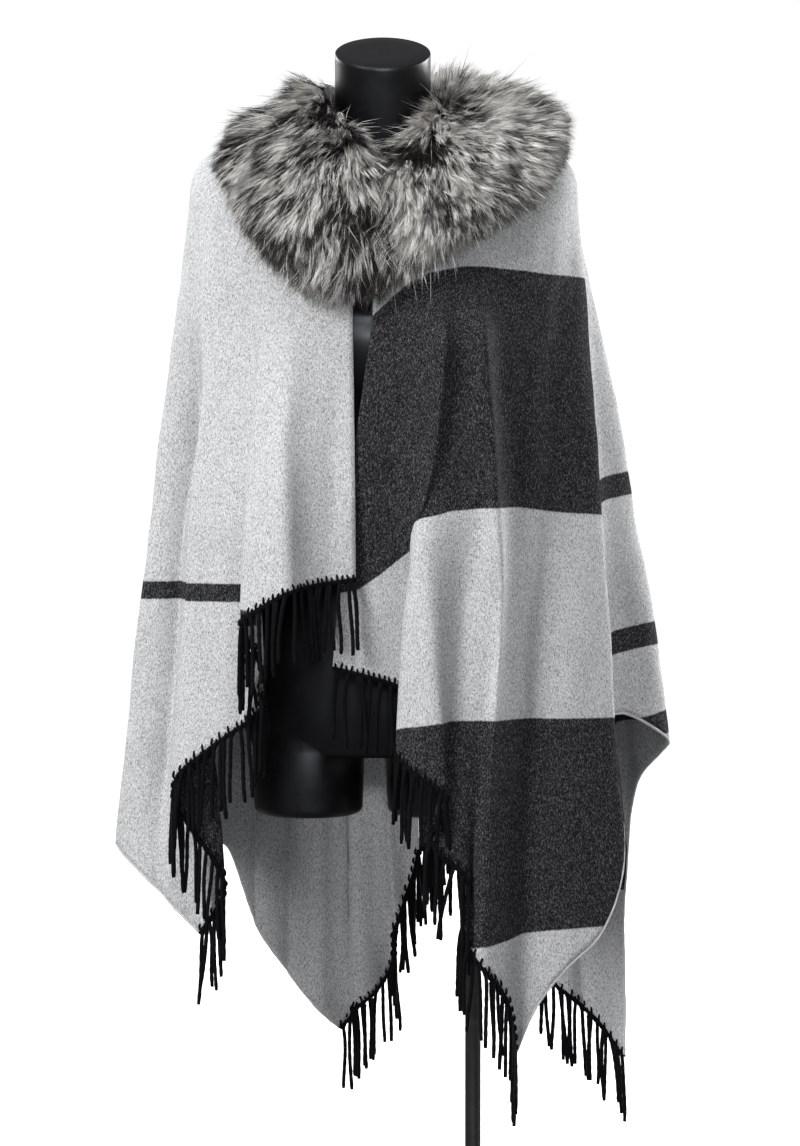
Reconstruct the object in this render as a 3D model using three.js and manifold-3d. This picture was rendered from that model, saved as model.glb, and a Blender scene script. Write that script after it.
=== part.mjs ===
// A wool cape coat with a deep fur collar, worn by a limbless display torso on a pole and a round foot.
// The cape is a blanket of two woven panels, right and left, seamed down the centre back and open at the
// front. Each panel hangs from the neck over the shoulder in fall lines that end on its edge: the fringed
// front hem, the plain side edge and the fringed back hem. Knotted fringe hangs from a strip along each hem.
//
// Millimetres, +Z up. The garment faces -Y and the wearer's right is -X.
// The origin is on the floor, under the middle of the foot.

import * as THREE from 'three';
import { mergeVertices } from 'three/addons/utils/BufferGeometryUtils.js';
import Module from 'manifold-3d';

const wasm = await Module();
wasm.setup();

// Driving sizes
const CLOTH = 2.6; // thickness of the woven cloth
const SEAM_GAP = 0.3; // between two pieces that are sewn or laid on each other
const REST_GAP = 1.1; // between the cloth and the torso that carries it
const COLUMN_WIDTH = 27; // of the facets along an edge
const YOKE_ROWS = 9;
const SKIRT_ROWS = 5;
const HEM_FLARE = -0.36; // over 0 the cloth swings out more in its lower part, under 0 in its upper part
const LEAST_MITRE = 0.55; // cosine that limits how long a mitre gets at a fold

// The cloth lies on the shoulders from the neck edge to the line where it falls free. These are the control
// points of that cross-section, as distance out from the neck's axis and height, in front, side and back.
const YOKE = {
  front: { out: [58, 84, 124, 134], up: [1272, 1222, 1182, 1100] },
  side: { out: [72, 142, 234, 219], up: [1325, 1306, 1299, 1232] },
  back: { out: [72, 100, 122, 130], up: [1325, 1292, 1252, 1175] },
};
const YOKE_MIDDLE = 1.5; // the shoulders' middle, to the wearer's left of the origin

// Fall lines of each panel, from the front opening round the arm to the centre back. turn is where the line
// leaves the shoulders, in degrees from the front centre; x, y and z are its lower end on the cloth's edge.
const RIGHT_FALLS = {
  frontHem: [
    { turn: 9, x: -29, y: -151, z: 812 },
    { turn: 24, x: -90, y: -161, z: 801 },
    { turn: 32, x: -127, y: -160, z: 779 },
    { turn: 37, x: -145, y: -149, z: 760 }, // first fold
    { turn: 41, x: -130, y: -137, z: 727 },
    { turn: 45, x: -112, y: -126, z: 687 }, // cloth runs back behind it to here
    { turn: 49, x: -134, y: -114, z: 662 },
    { turn: 55, x: -190, y: -108, z: 622 },
    { turn: 62, x: -241, y: -94, z: 571 }, // second fold
    { turn: 66, x: -214, y: -78, z: 527 },
    { turn: 70, x: -178, y: -64, z: 462 },
    { turn: 77, x: -208, y: -48, z: 404 }, // front corner
  ],
  sideEdge: [
    { turn: 77, x: -208, y: -48, z: 404 },
    { turn: 84, x: -259, y: -39, z: 454 },
    { turn: 94, x: -307, y: -6, z: 502 },
    { turn: 101, x: -292, y: 22, z: 499 },
    { turn: 108, x: -302, y: 54, z: 497 },
    { turn: 115, x: -262, y: 74, z: 498 },
    { turn: 122, x: -246, y: 112, z: 496 },
    { turn: 128, x: -205, y: 112, z: 490 },
    { turn: 133, x: -183, y: 140, z: 478 },
    { turn: 138, x: -152, y: 150, z: 386 },
    { turn: 144, x: -103, y: 158, z: 312 },
    { turn: 150, x: -56, y: 165, z: 256 }, // back corner
  ],
  backHem: [
    { turn: 150, x: -56, y: 165, z: 256 },
    { turn: 155, x: -31, y: 149, z: 284 },
    { turn: 160, x: -7, y: 164, z: 307 },
    { turn: 165, x: 14, y: 148, z: 369 },
    { turn: 171, x: 29, y: 163, z: 420 },
    { turn: 180, x: 43, y: 155, z: 474 },
  ],
};
const LEFT_FALLS = {
  frontHem: [
    { turn: -3, x: -55, y: -138, z: 713 },
    { turn: 8, x: -19, y: -137, z: 704 },
    { turn: 18, x: 17, y: -131, z: 692 },
    { turn: 24, x: 44, y: -130, z: 676 },
    { turn: 28, x: 34, y: -144, z: 653 },
    { turn: 32, x: 16, y: -157, z: 626 }, // fold that lies over the front edge
    { turn: 37, x: 34, y: -166, z: 601 },
    { turn: 42, x: 53, y: -160, z: 578 },
    { turn: 45, x: 58, y: -148, z: 546 },
    { turn: 48, x: 66, y: -160, z: 514 },
    { turn: 52, x: 84, y: -165, z: 483 },
    { turn: 55, x: 86, y: -149, z: 452 },
    { turn: 59, x: 109, y: -163, z: 390 },
    { turn: 64, x: 133, y: -163, z: 345 },
    { turn: 69, x: 147, y: -143, z: 284 }, // front corner
  ],
  sideEdge: [
    { turn: 69, x: 147, y: -143, z: 284 },
    { turn: 73, x: 170, y: -150, z: 337 },
    { turn: 77, x: 203, y: -143, z: 378 },
    { turn: 80, x: 241, y: -128, z: 413 },
    { turn: 84, x: 265, y: -112, z: 469 },
    { turn: 87, x: 267, y: -96, z: 540 }, // fold that lies over the side
    { turn: 90, x: 254, y: -80, z: 605 },
    { turn: 93, x: 249, y: -62, z: 646 },
    { turn: 96, x: 272, y: -46, z: 654 },
    { turn: 101, x: 325, y: -4, z: 621 },
    { turn: 107, x: 321, y: 31, z: 604 },
    { turn: 113, x: 299, y: 60, z: 573 },
    { turn: 120, x: 291, y: 96, z: 535 },
    { turn: 130, x: 283, y: 104, z: 420 },
    { turn: 138, x: 284, y: 120, z: 233 }, // back corner
  ],
  backHem: [
    { turn: 138, x: 284, y: 120, z: 233 },
    { turn: 143, x: 255, y: 138, z: 270 },
    { turn: 148, x: 219, y: 128, z: 301 },
    { turn: 153, x: 188, y: 150, z: 330 },
    { turn: 160, x: 149, y: 138, z: 400 },
    { turn: 167, x: 113, y: 163, z: 457 },
    { turn: 174, x: 77, y: 148, z: 485 },
    { turn: 180, x: 43, y: 155, z: 474 },
  ],
};

// Fringe
const STRIP_DEPTH = 7; // of the knotted strip below a hem
const STRIP_GAP = 0.6; // between it and the cloth
const STRAND_PITCH = 13;
const STRAND_LENGTH = 82;
const STRAND_RADIUS = 2.4;
const STRAND_ROOT_RADIUS = 0.9;
const SHARP_FOLD = 1.25; // how far a mitre lengthens a wall vector
const STRAND_SPLAY = 0.12; // how far a strand's lower half keeps away from the vertical on a steep edge

// Fur collar, station by station from the wearer's right front round the back of the neck to the left front.
// round is degrees from the centre back, reach is how far down the yoke the fur lies. neck, crest and brim
// are its depth at the neck edge, half way down and at its outer edge.
const COLLAR_STATIONS = [
  { round: -179.2, reach: 0.95, neck: 14, crest: 20, brim: 8 },
  { round: -168, reach: 1.0, neck: 24, crest: 38, brim: 14 },
  { round: -145, reach: 0.97, neck: 40, crest: 46, brim: 16 },
  { round: -122, reach: 0.86, neck: 52, crest: 38, brim: 12 },
  { round: -105, reach: 0.7, neck: 66, crest: 29, brim: 7 },
  { round: -90, reach: 0.62, neck: 68, crest: 26, brim: 6 },
  { round: -50, reach: 0.62, neck: 60, crest: 38, brim: 14 },
  { round: 0, reach: 0.72, neck: 56, crest: 52, brim: 18 },
  { round: 50, reach: 0.7, neck: 50, crest: 62, brim: 22 },
  { round: 78, reach: 0.68, neck: 50, crest: 62, brim: 18 },
  { round: 96, reach: 0.69, neck: 42, crest: 57, brim: 18 },
  { round: 118, reach: 0.8, neck: 36, crest: 56, brim: 22 },
  { round: 138, reach: 0.84, neck: 32, crest: 50, brim: 20 },
  { round: 152, reach: 0.88, neck: 28, crest: 46, brim: 18 },
  { round: 166, reach: 0.95, neck: 22, crest: 38, brim: 16 },
  { round: 179.2, reach: 0.95, neck: 14, crest: 20, brim: 8 },
];
const COLLAR_STEP = 8.5; // degrees between rings
const COLLAR_LUMP = 3; // height of the tufts
const COLLAR_LIFT = 1; // of its underside off the cloth
const COLLAR_LEAN = 0.2; // how far the fur that stands at the nape and the sides leans to the neck

// Display torso: each level's half-widths and heights at the side, the front and the back.
const TORSO_LEVELS = [
  { side: 136, front: 76, back: 80, up: 606, shift: -9 },
  { side: 150, front: 86, back: 96, up: 634, shift: -9 },
  { side: 162, front: 93, back: 108, up: 700, shift: -8 },
  { side: 157, front: 90, back: 103, up: 760, shift: -6 },
  { side: 137, front: 84, back: 90, up: 830, shift: -4 },
  { side: 116, front: 78, back: 78, up: 910, shift: -2 },
  { side: 121, front: 84, back: 80, up: 975, shift: 0 },
  { side: 134, front: 100, back: 88, up: 1035, shift: 0 },
  { side: 148, front: 117, back: 98, up: 1075, sideUp: 1100, backUp: 1105, shift: 0 },
  { side: 176, front: 126, back: 112, up: 1103, sideUp: 1185, backUp: 1150, shift: 0 },
];
const TORSO_SIDES = 28;
const NECK = {
  halfWidth: 54,
  halfDepth: 56,
  foot: new THREE.Vector3(0, 4, 1296),
  footNarrower: 8, // in front and behind
  footDip: 22, // how far the foot's front lies below its middle
  cap: new THREE.Vector3(0, -22, 1396),
  capTilt: 23, // degrees forward
  bevel: 4,
};
const STUMP = { halfWidth: 62, halfDepth: 70, spread: 76, shift: -9, bottom: 536, top: 650, round: 9 };

// Stand
const POLE = { x: 103, radius: 9, flangeRadius: 17, flangeHeight: 7 };
const FOOT = { radius: 190, thickness: 6, bevel: 1.5, boss: 22, bossHeight: 16 };

const radians = THREE.MathUtils.degToRad;
const solids = new THREE.Group();

function addSolid(name, geometry, material) {
  const mesh = new THREE.Mesh(geometry, material);
  mesh.name = name;
  solids.add(mesh);
}

function material(color, roughness, metalness = 0) {
  return new THREE.MeshStandardMaterial({ color, roughness, metalness });
}

function bezier(controls, share) {
  const rest = 1 - share;
  return rest ** 3 * controls[0] + 3 * rest ** 2 * share * controls[1]
    + 3 * rest * share ** 2 * controls[2] + share ** 3 * controls[3];
}

// A point of the yoke. hand is -1 on the wearer's right and 1 on the left.
function yokePoint(hand, turn, share) {
  const sine = Math.sin(radians(turn));
  const cosine = Math.cos(radians(turn));
  const ends = cosine > 0 ? YOKE.front : YOKE.back;
  return new THREE.Vector3(
    YOKE_MIDDLE + hand * sine * bezier(YOKE.side.out, share),
    -cosine * bezier(ends.out, share),
    sine ** 2 * bezier(YOKE.side.up, share) + cosine ** 2 * bezier(ends.up, share),
  );
}

function yokeNormal(hand, turn, share) {
  const across = yokePoint(hand, turn + 1, share).sub(yokePoint(hand, turn - 1, share));
  const down = yokePoint(hand, turn, share + 0.01).sub(yokePoint(hand, turn, share - 0.01));
  return across.cross(down).multiplyScalar(-hand).normalize();
}

// A closed surface from rings of the same number of points, the first and last ring closed by a fan.
function loft(rings) {
  const sides = rings[0].length;
  const middle = (ring) => ring.reduce((sum, p) => sum.add(p), new THREE.Vector3()).divideScalar(sides);
  const points = [...rings.flat(), middle(rings[0]), middle(rings.at(-1))];
  const start = rings.length * sides;
  const faces = [];
  for (let side = 0; side < sides; side++) {
    const next = (side + 1) % sides;
    for (let ring = 0; ring < rings.length - 1; ring++) {
      const here = ring * sides;
      const above = here + sides;
      faces.push(here + side, here + next, above + next, here + side, above + next, above + side);
    }
    const last = (rings.length - 1) * sides;
    faces.push(start, next, side, start + 1, last + side, last + next);
  }
  return facesToGeometry(points, faces);
}

function facesToGeometry(points, faces) {
  const geometry = new THREE.BufferGeometry().setFromPoints(points);
  geometry.setIndex(faces);
  return facingOut(geometry);
}

// The same geometry with its faces pointing out.
function facingOut(geometry) {
  const place = geometry.getAttribute('position');
  const index = geometry.index.array;
  const [a, b, c] = [new THREE.Vector3(), new THREE.Vector3(), new THREE.Vector3()];
  let volume = 0;
  for (let i = 0; i < index.length; i += 3) {
    a.fromBufferAttribute(place, index[i]);
    b.fromBufferAttribute(place, index[i + 1]);
    c.fromBufferAttribute(place, index[i + 2]);
    volume += a.dot(b.cross(c));
  }
  if (volume < 0) index.reverse();
  return geometry;
}

function toManifold(geometry) {
  const bare = new THREE.BufferGeometry().setAttribute('position', geometry.getAttribute('position'));
  bare.setIndex(geometry.index);
  const merged = mergeVertices(bare, 1e-4);
  return new wasm.Manifold(new wasm.Mesh({
    numProp: 3,
    vertProperties: new Float32Array(merged.getAttribute('position').array),
    triVerts: new Uint32Array(merged.index.array),
  }));
}

function fromManifold(solid) {
  const { vertProperties, triVerts } = solid.getMesh();
  const geometry = new THREE.BufferGeometry();
  geometry.setAttribute('position', new THREE.BufferAttribute(vertProperties, 3));
  geometry.setIndex(new THREE.BufferAttribute(triVerts, 1));
  return geometry;
}

// The edge of a panel as columns: each has its turn on the shoulders and its lower end.
function edgeColumns(rows) {
  const curve = new THREE.CatmullRomCurve3(rows.map((row) => new THREE.Vector3(row.x, row.y, row.z)));
  const columns = [];
  for (let span = 0; span < rows.length - 1; span++) {
    const [from, to] = [rows[span], rows[span + 1]];
    const length = Math.hypot(to.x - from.x, to.y - from.y, to.z - from.z);
    const steps = Math.max(1, Math.round(length / COLUMN_WIDTH));
    for (let step = 0; step < steps; step++) {
      const share = step / steps;
      columns.push({
        turn: THREE.MathUtils.lerp(from.turn, to.turn, share),
        end: curve.getPoint((span + share) / (rows.length - 1)),
      });
    }
  }
  columns.push({ turn: rows.at(-1).turn, end: curve.getPoint(1) });
  return columns;
}

// The outer face of a fall line: first over the shoulders, then free to the hem.
function fallLine(hand, column) {
  const points = [];
  for (let row = 0; row <= YOKE_ROWS; row++) {
    points.push(yokePoint(hand, column.turn, row / YOKE_ROWS));
  }
  const brink = points.at(-1);
  for (let row = 1; row <= SKIRT_ROWS; row++) {
    points.push(fallPoint(brink, column.end, row / SKIRT_ROWS));
  }
  return points;
}

function fallPoint(brink, end, share) {
  const swing = share * (1 - HEM_FLARE * (1 - share));
  return new THREE.Vector3(
    THREE.MathUtils.lerp(brink.x, end.x, swing),
    THREE.MathUtils.lerp(brink.y, end.y, swing),
    THREE.MathUtils.lerp(brink.z, end.z, share),
  );
}

// Vectors from the inner to the outer face at each point of a grid, for a wall one unit thick. A sharp fold
// gets a longer one, like a mitre. At the centre back seam both panels take the same across direction.
function wallVectors(hand, grid) {
  const lastColumn = grid.length - 1;
  return grid.map((line, column) => line.map((point, row) => {
    const down = line[Math.min(row + 1, line.length - 1)].clone().sub(line[Math.max(row - 1, 0)]);
    const facing = (across) => across.cross(down).multiplyScalar(-hand).normalize();
    if (column === lastColumn) return facing(new THREE.Vector3(-hand, 0, 0));
    const after = facing(grid[column + 1][row].clone().sub(point));
    if (column === 0) return after;
    const before = facing(point.clone().sub(grid[column - 1][row]));
    const middle = before.clone().add(after).normalize();
    return middle.divideScalar(Math.max(middle.dot(after), LEAST_MITRE));
  }));
}

// A closed wall between a grid of outer points and one of inner points.
function wall(outer, inner) {
  const [columns, rows] = [outer.length, outer[0].length];
  const points = [...outer.flat(), ...inner.flat()];
  const back = columns * rows;
  const at = (column, row) => column * rows + row;
  const faces = [];
  const quad = (a, b, c, d) => faces.push(a, b, c, a, c, d);
  for (let c = 0; c < columns - 1; c++) {
    for (let r = 0; r < rows - 1; r++) {
      quad(at(c, r), at(c, r + 1), at(c + 1, r + 1), at(c + 1, r));
      quad(back + at(c, r), back + at(c + 1, r), back + at(c + 1, r + 1), back + at(c, r + 1));
    }
    quad(at(c + 1, 0), back + at(c + 1, 0), back + at(c, 0), at(c, 0));
    quad(at(c + 1, rows - 1), at(c, rows - 1), back + at(c, rows - 1), back + at(c + 1, rows - 1));
  }
  for (let r = 0; r < rows - 1; r++) {
    quad(at(0, r + 1), at(0, r), back + at(0, r), back + at(0, r + 1));
    const last = columns - 1;
    quad(at(last, r), at(last, r + 1), back + at(last, r + 1), back + at(last, r));
  }
  return facesToGeometry(points, faces);
}

function panel(hand, falls) {
  const hem = edgeColumns(falls.frontHem);
  const side = edgeColumns(falls.sideEdge);
  const back = edgeColumns(falls.backHem);
  const columns = [...hem, ...side.slice(1), ...back.slice(1)];
  const grid = columns.map((column) => fallLine(hand, column));
  for (const point of grid.at(-1)) point.x += hand * SEAM_GAP / 2;
  const vectors = wallVectors(hand, grid);
  const behind = (point, column, row) => point.clone().addScaledVector(vectors[column][row], -CLOTH);
  const inner = grid.map((line, column) => line.map((point, row) => behind(point, column, row)));
  const firstBack = hem.length + side.length - 2;
  return {
    geometry: wall(grid, inner),
    frontEdge: edgeOf(grid, vectors, 0, hem.length - 1),
    backEdge: edgeOf(grid, vectors, firstBack, grid.length - 1),
  };
}

// The hem's outer points from one column to another, each with its wall vector and with the vector along its
// fall line that leads one unit off the hem.
function edgeOf(grid, vectors, from, to) {
  const edge = [];
  for (let column = from; column <= to; column++) {
    const point = grid[column].at(-1);
    const fall = point.clone().sub(grid[column].at(-2)).normalize();
    const neighbours = [column - 1, column + 1].filter((other) => other >= from && other <= to);
    const along = neighbours.map((other) => grid[other].at(-1).clone().sub(point).normalize());
    const sines = along.map((direction) => direction.cross(fall).length());
    const off = fall.divideScalar(Math.max(...sines, LEAST_MITRE));
    edge.push({ point, out: vectors[column].at(-1), off });
  }
  return edge;
}

// The knotted strip that runs on from the cloth just below a hem.
function fringeStrip(edge) {
  const face = (depth) => edge.map(({ point, off, out }) => [0, 1].map((row) => point.clone()
    .addScaledVector(out, -depth)
    .addScaledVector(off, STRIP_GAP + row * STRIP_DEPTH)));
  return wall(face(0), face(CLOTH));
}

// Places along an edge at an even pitch, half a pitch in from its ends. None is right in a sharp fold, where
// a strand would run into the next layer.
function strandRoots(edge) {
  const lengths = [0];
  for (let i = 1; i < edge.length; i++) {
    lengths.push(lengths[i - 1] + edge[i].point.distanceTo(edge[i - 1].point));
  }
  const count = Math.round(lengths.at(-1) / STRAND_PITCH);
  const roots = [];
  for (let number = 0; number < count; number++) {
    const along = (number + 0.5) / count * lengths.at(-1);
    const after = Math.max(1, lengths.findIndex((length) => length >= along));
    const share = (along - lengths[after - 1]) / (lengths[after] - lengths[after - 1]);
    const [from, to] = [edge[after - 1], edge[after]];
    const out = from.out.clone().lerp(to.out, share);
    if (out.length() > SHARP_FOLD) continue;
    roots.push({
      point: from.point.clone().lerp(to.point, share).addScaledVector(out, -CLOTH / 2),
      off: from.off.clone().lerp(to.off, share).normalize(),
      out: out.normalize(),
      number,
    });
  }
  return roots;
}

// One strand: three-sided and thin at its root in the strip. It runs on from the cloth, then hangs down.
function strand(root) {
  const start = root.point.clone().addScaledVector(root.off, STRIP_GAP + STRIP_DEPTH * 0.4);
  const aside = root.off.clone().cross(root.out).normalize();
  const hang = new THREE.Vector3(0, 0, -1).lerp(root.off, STRAND_SPLAY).normalize();
  const length = STRAND_LENGTH * (1 + 0.1 * Math.sin(root.number * 2.4));
  const centres = [start, start.clone().addScaledVector(root.off, length * 0.16)];
  centres.push(centres[1].clone().addScaledVector(hang, length * 0.84));
  const rings = centres.map((centre, step) => {
    const radius = [STRAND_ROOT_RADIUS, STRAND_RADIUS, STRAND_RADIUS * 0.85][step];
    return [90, 210, 330].map((angle) => centre.clone()
      .addScaledVector(aside, radius * Math.cos(radians(angle)))
      .addScaledVector(root.out, radius * Math.sin(radians(angle)) * 0.8));
  });
  return loft(rings);
}

function fringe(edge) {
  let solid = toManifold(fringeStrip(edge));
  for (const root of strandRoots(edge)) solid = solid.add(toManifold(strand(root)));
  return fromManifold(solid);
}

function between(stations, round, key) {
  const after = Math.max(1, stations.findIndex((station) => station.round >= round));
  const [from, to] = [stations[after - 1], stations[after]];
  const share = (round - from.round) / (to.round - from.round);
  const smooth = share * share * (3 - 2 * share);
  return THREE.MathUtils.lerp(from[key], to[key], smooth);
}

// A ring of the collar: its underside follows the rows of the cloth's facets, its top swells over them.
function collarRing(round, number) {
  const hand = round < 0 ? -1 : 1;
  const turn = 180 - Math.abs(round);
  const [reach, neck, crest, brim] = ['reach', 'neck', 'crest', 'brim']
    .map((key) => between(COLLAR_STATIONS, round, key));
  const swell = (8 * crest - neck - brim) / 6;
  const over = (share, height) => yokePoint(hand, turn, share)
    .addScaledVector(yokeNormal(hand, turn, share), height);
  const standing = Math.min(1, 1.1 - Math.cos(radians(turn)));
  const inwards = yokePoint(hand, turn, 0).setZ(0).normalize().negate();
  const upright = inwards.multiplyScalar(COLLAR_LEAN).setZ(1).normalize();
  const swelling = (share, height) => {
    const leaning = standing * (1 - share) ** 1.5;
    const rise = yokeNormal(hand, turn, share * reach).lerp(upright, leaning).normalize();
    return yokePoint(hand, turn, share * reach).addScaledVector(rise, height);
  };
  const ring = [];
  for (let row = 0; row < YOKE_ROWS; row++) {
    const beyond = Math.max(0, row / YOKE_ROWS - reach);
    ring.push(over(Math.min(row / YOKE_ROWS, reach), COLLAR_LIFT + beyond * brim));
  }
  for (let row = YOKE_ROWS; row >= 0; row--) {
    const share = row / YOKE_ROWS;
    const tuft = COLLAR_LUMP * Math.sin(number * 1.9 + row * 2.3) * Math.sin(Math.PI * share);
    ring.push(swelling(share, bezier([neck, swell, swell, brim], share) + tuft));
  }
  return ring;
}

function furCollar() {
  const [first, last] = [COLLAR_STATIONS[0].round, COLLAR_STATIONS.at(-1).round];
  const count = Math.round((last - first) / COLLAR_STEP);
  const rings = [];
  for (let ring = 0; ring <= count; ring++) {
    rings.push(collarRing(THREE.MathUtils.lerp(first, last, ring / count), ring));
  }
  return loft(rings);
}

// A level of the torso. up is the height in front, and at the side and back where they state no other.
function torsoRing(level) {
  const ring = [];
  for (let side = 0; side < TORSO_SIDES; side++) {
    const angle = side / TORSO_SIDES * 2 * Math.PI;
    const [sine, cosine] = [Math.sin(angle), Math.cos(angle)];
    const endUp = cosine > 0 ? level.up : level.backUp ?? level.up;
    ring.push(new THREE.Vector3(
      level.shift + level.side * sine,
      -cosine * (cosine > 0 ? level.front : level.back),
      sine ** 2 * (level.sideUp ?? level.up) + cosine ** 2 * endUp,
    ));
  }
  return ring;
}

// A ring of the torso that lies just under the cloth.
function underYokeRing(share) {
  const ring = [];
  for (let side = 0; side < TORSO_SIDES; side++) {
    const degrees = side / TORSO_SIDES * 360;
    const hand = degrees < 180 ? 1 : -1;
    const turn = hand > 0 ? degrees : 360 - degrees;
    ring.push(yokePoint(hand, turn, share)
      .addScaledVector(yokeNormal(hand, turn, share), -(CLOTH + REST_GAP)));
  }
  return ring;
}

// A ring of the neck, from its foot inside the neck edge (0) to the cap (1).
function neckRing(share, inset) {
  const tilt = radians(NECK.capTilt) * share;
  const centre = NECK.foot.clone().lerp(NECK.cap, share);
  const ring = [];
  for (let side = 0; side < TORSO_SIDES; side++) {
    const angle = side / TORSO_SIDES * 2 * Math.PI;
    const forward = Math.cos(angle) * (NECK.halfDepth - NECK.footNarrower * (1 - share) - inset);
    ring.push(new THREE.Vector3(
      centre.x + Math.sin(angle) * (NECK.halfWidth - inset),
      centre.y - forward * Math.cos(tilt),
      centre.z - forward * Math.sin(tilt) - Math.cos(angle) * NECK.footDip * (1 - share),
    ));
  }
  return ring;
}

function stump(hand) {
  const ring = (inset, up) => torsoRing({
    side: STUMP.halfWidth - inset,
    front: STUMP.halfDepth - inset,
    back: STUMP.halfDepth - inset,
    up,
    shift: STUMP.shift + hand * STUMP.spread,
  });
  return loft([
    ring(STUMP.round, STUMP.bottom),
    ring(STUMP.round * 0.3, STUMP.bottom + STUMP.round * 0.3),
    ring(0, STUMP.bottom + STUMP.round),
    ring(-2, STUMP.top - 40),
    ring(4, STUMP.top),
  ]);
}

function torso() {
  const yokeShares = [];
  for (let row = YOKE_ROWS - 1; row > 0; row--) yokeShares.push(row / YOKE_ROWS);
  const cap = neckRing(1, NECK.bevel);
  for (const point of cap) point.z += NECK.bevel * 0.5;
  const body = loft([
    ...TORSO_LEVELS.map(torsoRing),
    ...yokeShares.map(underYokeRing),
    neckRing(0.1, 0),
    neckRing(0.4, 0),
    neckRing(0.75, 0),
    neckRing(1, 0),
    cap,
  ]);
  return fromManifold(toManifold(body).add(toManifold(stump(-1))).add(toManifold(stump(1))));
}

function lathe(profile) {
  const points = profile.map(([radius, up]) => new THREE.Vector2(radius, up));
  const geometry = new THREE.LatheGeometry(points, 32);
  geometry.deleteAttribute('normal');
  geometry.deleteAttribute('uv');
  geometry.rotateX(Math.PI / 2);
  return fromManifold(toManifold(facingOut(geometry)));
}

function pole() {
  const top = STUMP.bottom - SEAM_GAP;
  const bottom = FOOT.thickness + SEAM_GAP;
  return lathe([
    [0, bottom],
    [FOOT.boss, bottom],
    [FOOT.boss, bottom + FOOT.bossHeight * 0.4],
    [POLE.radius, bottom + FOOT.bossHeight],
    [POLE.radius, top - POLE.flangeHeight - 4],
    [POLE.flangeRadius, top - POLE.flangeHeight],
    [POLE.flangeRadius, top],
    [0, top],
  ]).translate(POLE.x, 0, 0);
}

function foot() {
  return lathe([
    [0, 0],
    [FOOT.radius - FOOT.bevel, 0],
    [FOOT.radius, FOOT.bevel],
    [FOOT.radius, FOOT.thickness - FOOT.bevel],
    [FOOT.radius - FOOT.bevel, FOOT.thickness],
    [0, FOOT.thickness],
  ]);
}

const wool = material(0xc4c4c2, 0.95);
const yarn = material(0x101012, 0.9);
const fur = material(0x8c8984, 0.85);
const shell = material(0x17181b, 0.5);
const steel = material(0x2a2a2c, 0.4, 0.8);

const right = panel(-1, RIGHT_FALLS);
const left = panel(1, LEFT_FALLS);
addSolid('cape_right_panel', right.geometry, wool);
addSolid('cape_left_panel', left.geometry, wool);
addSolid('fringe_front_right', fringe(right.frontEdge), yarn);
addSolid('fringe_back_right', fringe(right.backEdge), yarn);
addSolid('fringe_front_left', fringe(left.frontEdge), yarn);
addSolid('fringe_back_left', fringe(left.backEdge), yarn);
addSolid('fur_collar', furCollar(), fur);
addSolid('torso_form', torso(), shell);
addSolid('stand_pole', pole(), steel);
addSolid('stand_foot', foot(), steel);

export default solids;
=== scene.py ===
"""The looks of the wool cape coat on its display torso: cloth, fringe, fur, torso, stand, camera and light.

Millimetres in the tables and in all arrays, apart from the camera's and the lamps', and metres from
mesh_object() on. The garment faces -Y.
"""

import math

import bpy
import numpy as np
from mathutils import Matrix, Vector, noise


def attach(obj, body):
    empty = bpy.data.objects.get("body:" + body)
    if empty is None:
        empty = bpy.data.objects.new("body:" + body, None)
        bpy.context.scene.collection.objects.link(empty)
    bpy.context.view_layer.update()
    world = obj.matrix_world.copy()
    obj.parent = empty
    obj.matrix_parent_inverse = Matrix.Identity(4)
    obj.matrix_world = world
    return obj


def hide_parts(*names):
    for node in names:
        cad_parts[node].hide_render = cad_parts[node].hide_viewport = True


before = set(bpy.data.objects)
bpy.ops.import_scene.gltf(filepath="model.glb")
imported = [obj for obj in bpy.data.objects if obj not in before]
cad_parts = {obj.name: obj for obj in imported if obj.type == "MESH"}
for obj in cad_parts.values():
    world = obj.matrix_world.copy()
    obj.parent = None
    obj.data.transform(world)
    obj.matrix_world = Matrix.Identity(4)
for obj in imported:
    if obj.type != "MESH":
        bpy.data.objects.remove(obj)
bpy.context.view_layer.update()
MM = 0.001
DOWN = np.array((0.0, 0.0, -1.0))

# Cloth, in millimetres. These tables are the ones that the solids are made from.
CLOTH = 2.6
HEM_FLARE = -0.36
YOKE = {
    "front": {"out": (58, 84, 124, 134), "up": (1272, 1222, 1182, 1100)},
    "side": {"out": (72, 142, 234, 219), "up": (1325, 1306, 1299, 1232)},
    "back": {"out": (72, 100, 122, 130), "up": (1325, 1292, 1252, 1175)},
}
YOKE_MIDDLE = 1.5

# Fall lines: turn on the shoulders in degrees from the front centre, then the lower end x, y, z.
RIGHT_FALLS = {
    "front_hem": [
        (9, -29, -151, 812), (24, -90, -161, 801), (32, -127, -160, 779), (37, -145, -149, 760),
        (41, -130, -137, 727), (45, -112, -126, 687), (49, -134, -114, 662), (55, -190, -108, 622),
        (62, -241, -94, 571), (66, -214, -78, 527), (70, -178, -64, 462), (77, -208, -48, 404),
    ],
    "side_edge": [
        (77, -208, -48, 404), (84, -259, -39, 454), (94, -307, -6, 502), (101, -292, 22, 499),
        (108, -302, 54, 497), (115, -262, 74, 498), (122, -246, 112, 496), (128, -205, 112, 490),
        (133, -183, 140, 478), (138, -152, 150, 386), (144, -103, 158, 312), (150, -56, 165, 256),
    ],
    "back_hem": [
        (150, -56, 165, 256), (155, -31, 149, 284), (160, -7, 164, 307), (165, 14, 148, 369),
        (171, 29, 163, 420), (180, 43, 155, 474),
    ],
}
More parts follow.
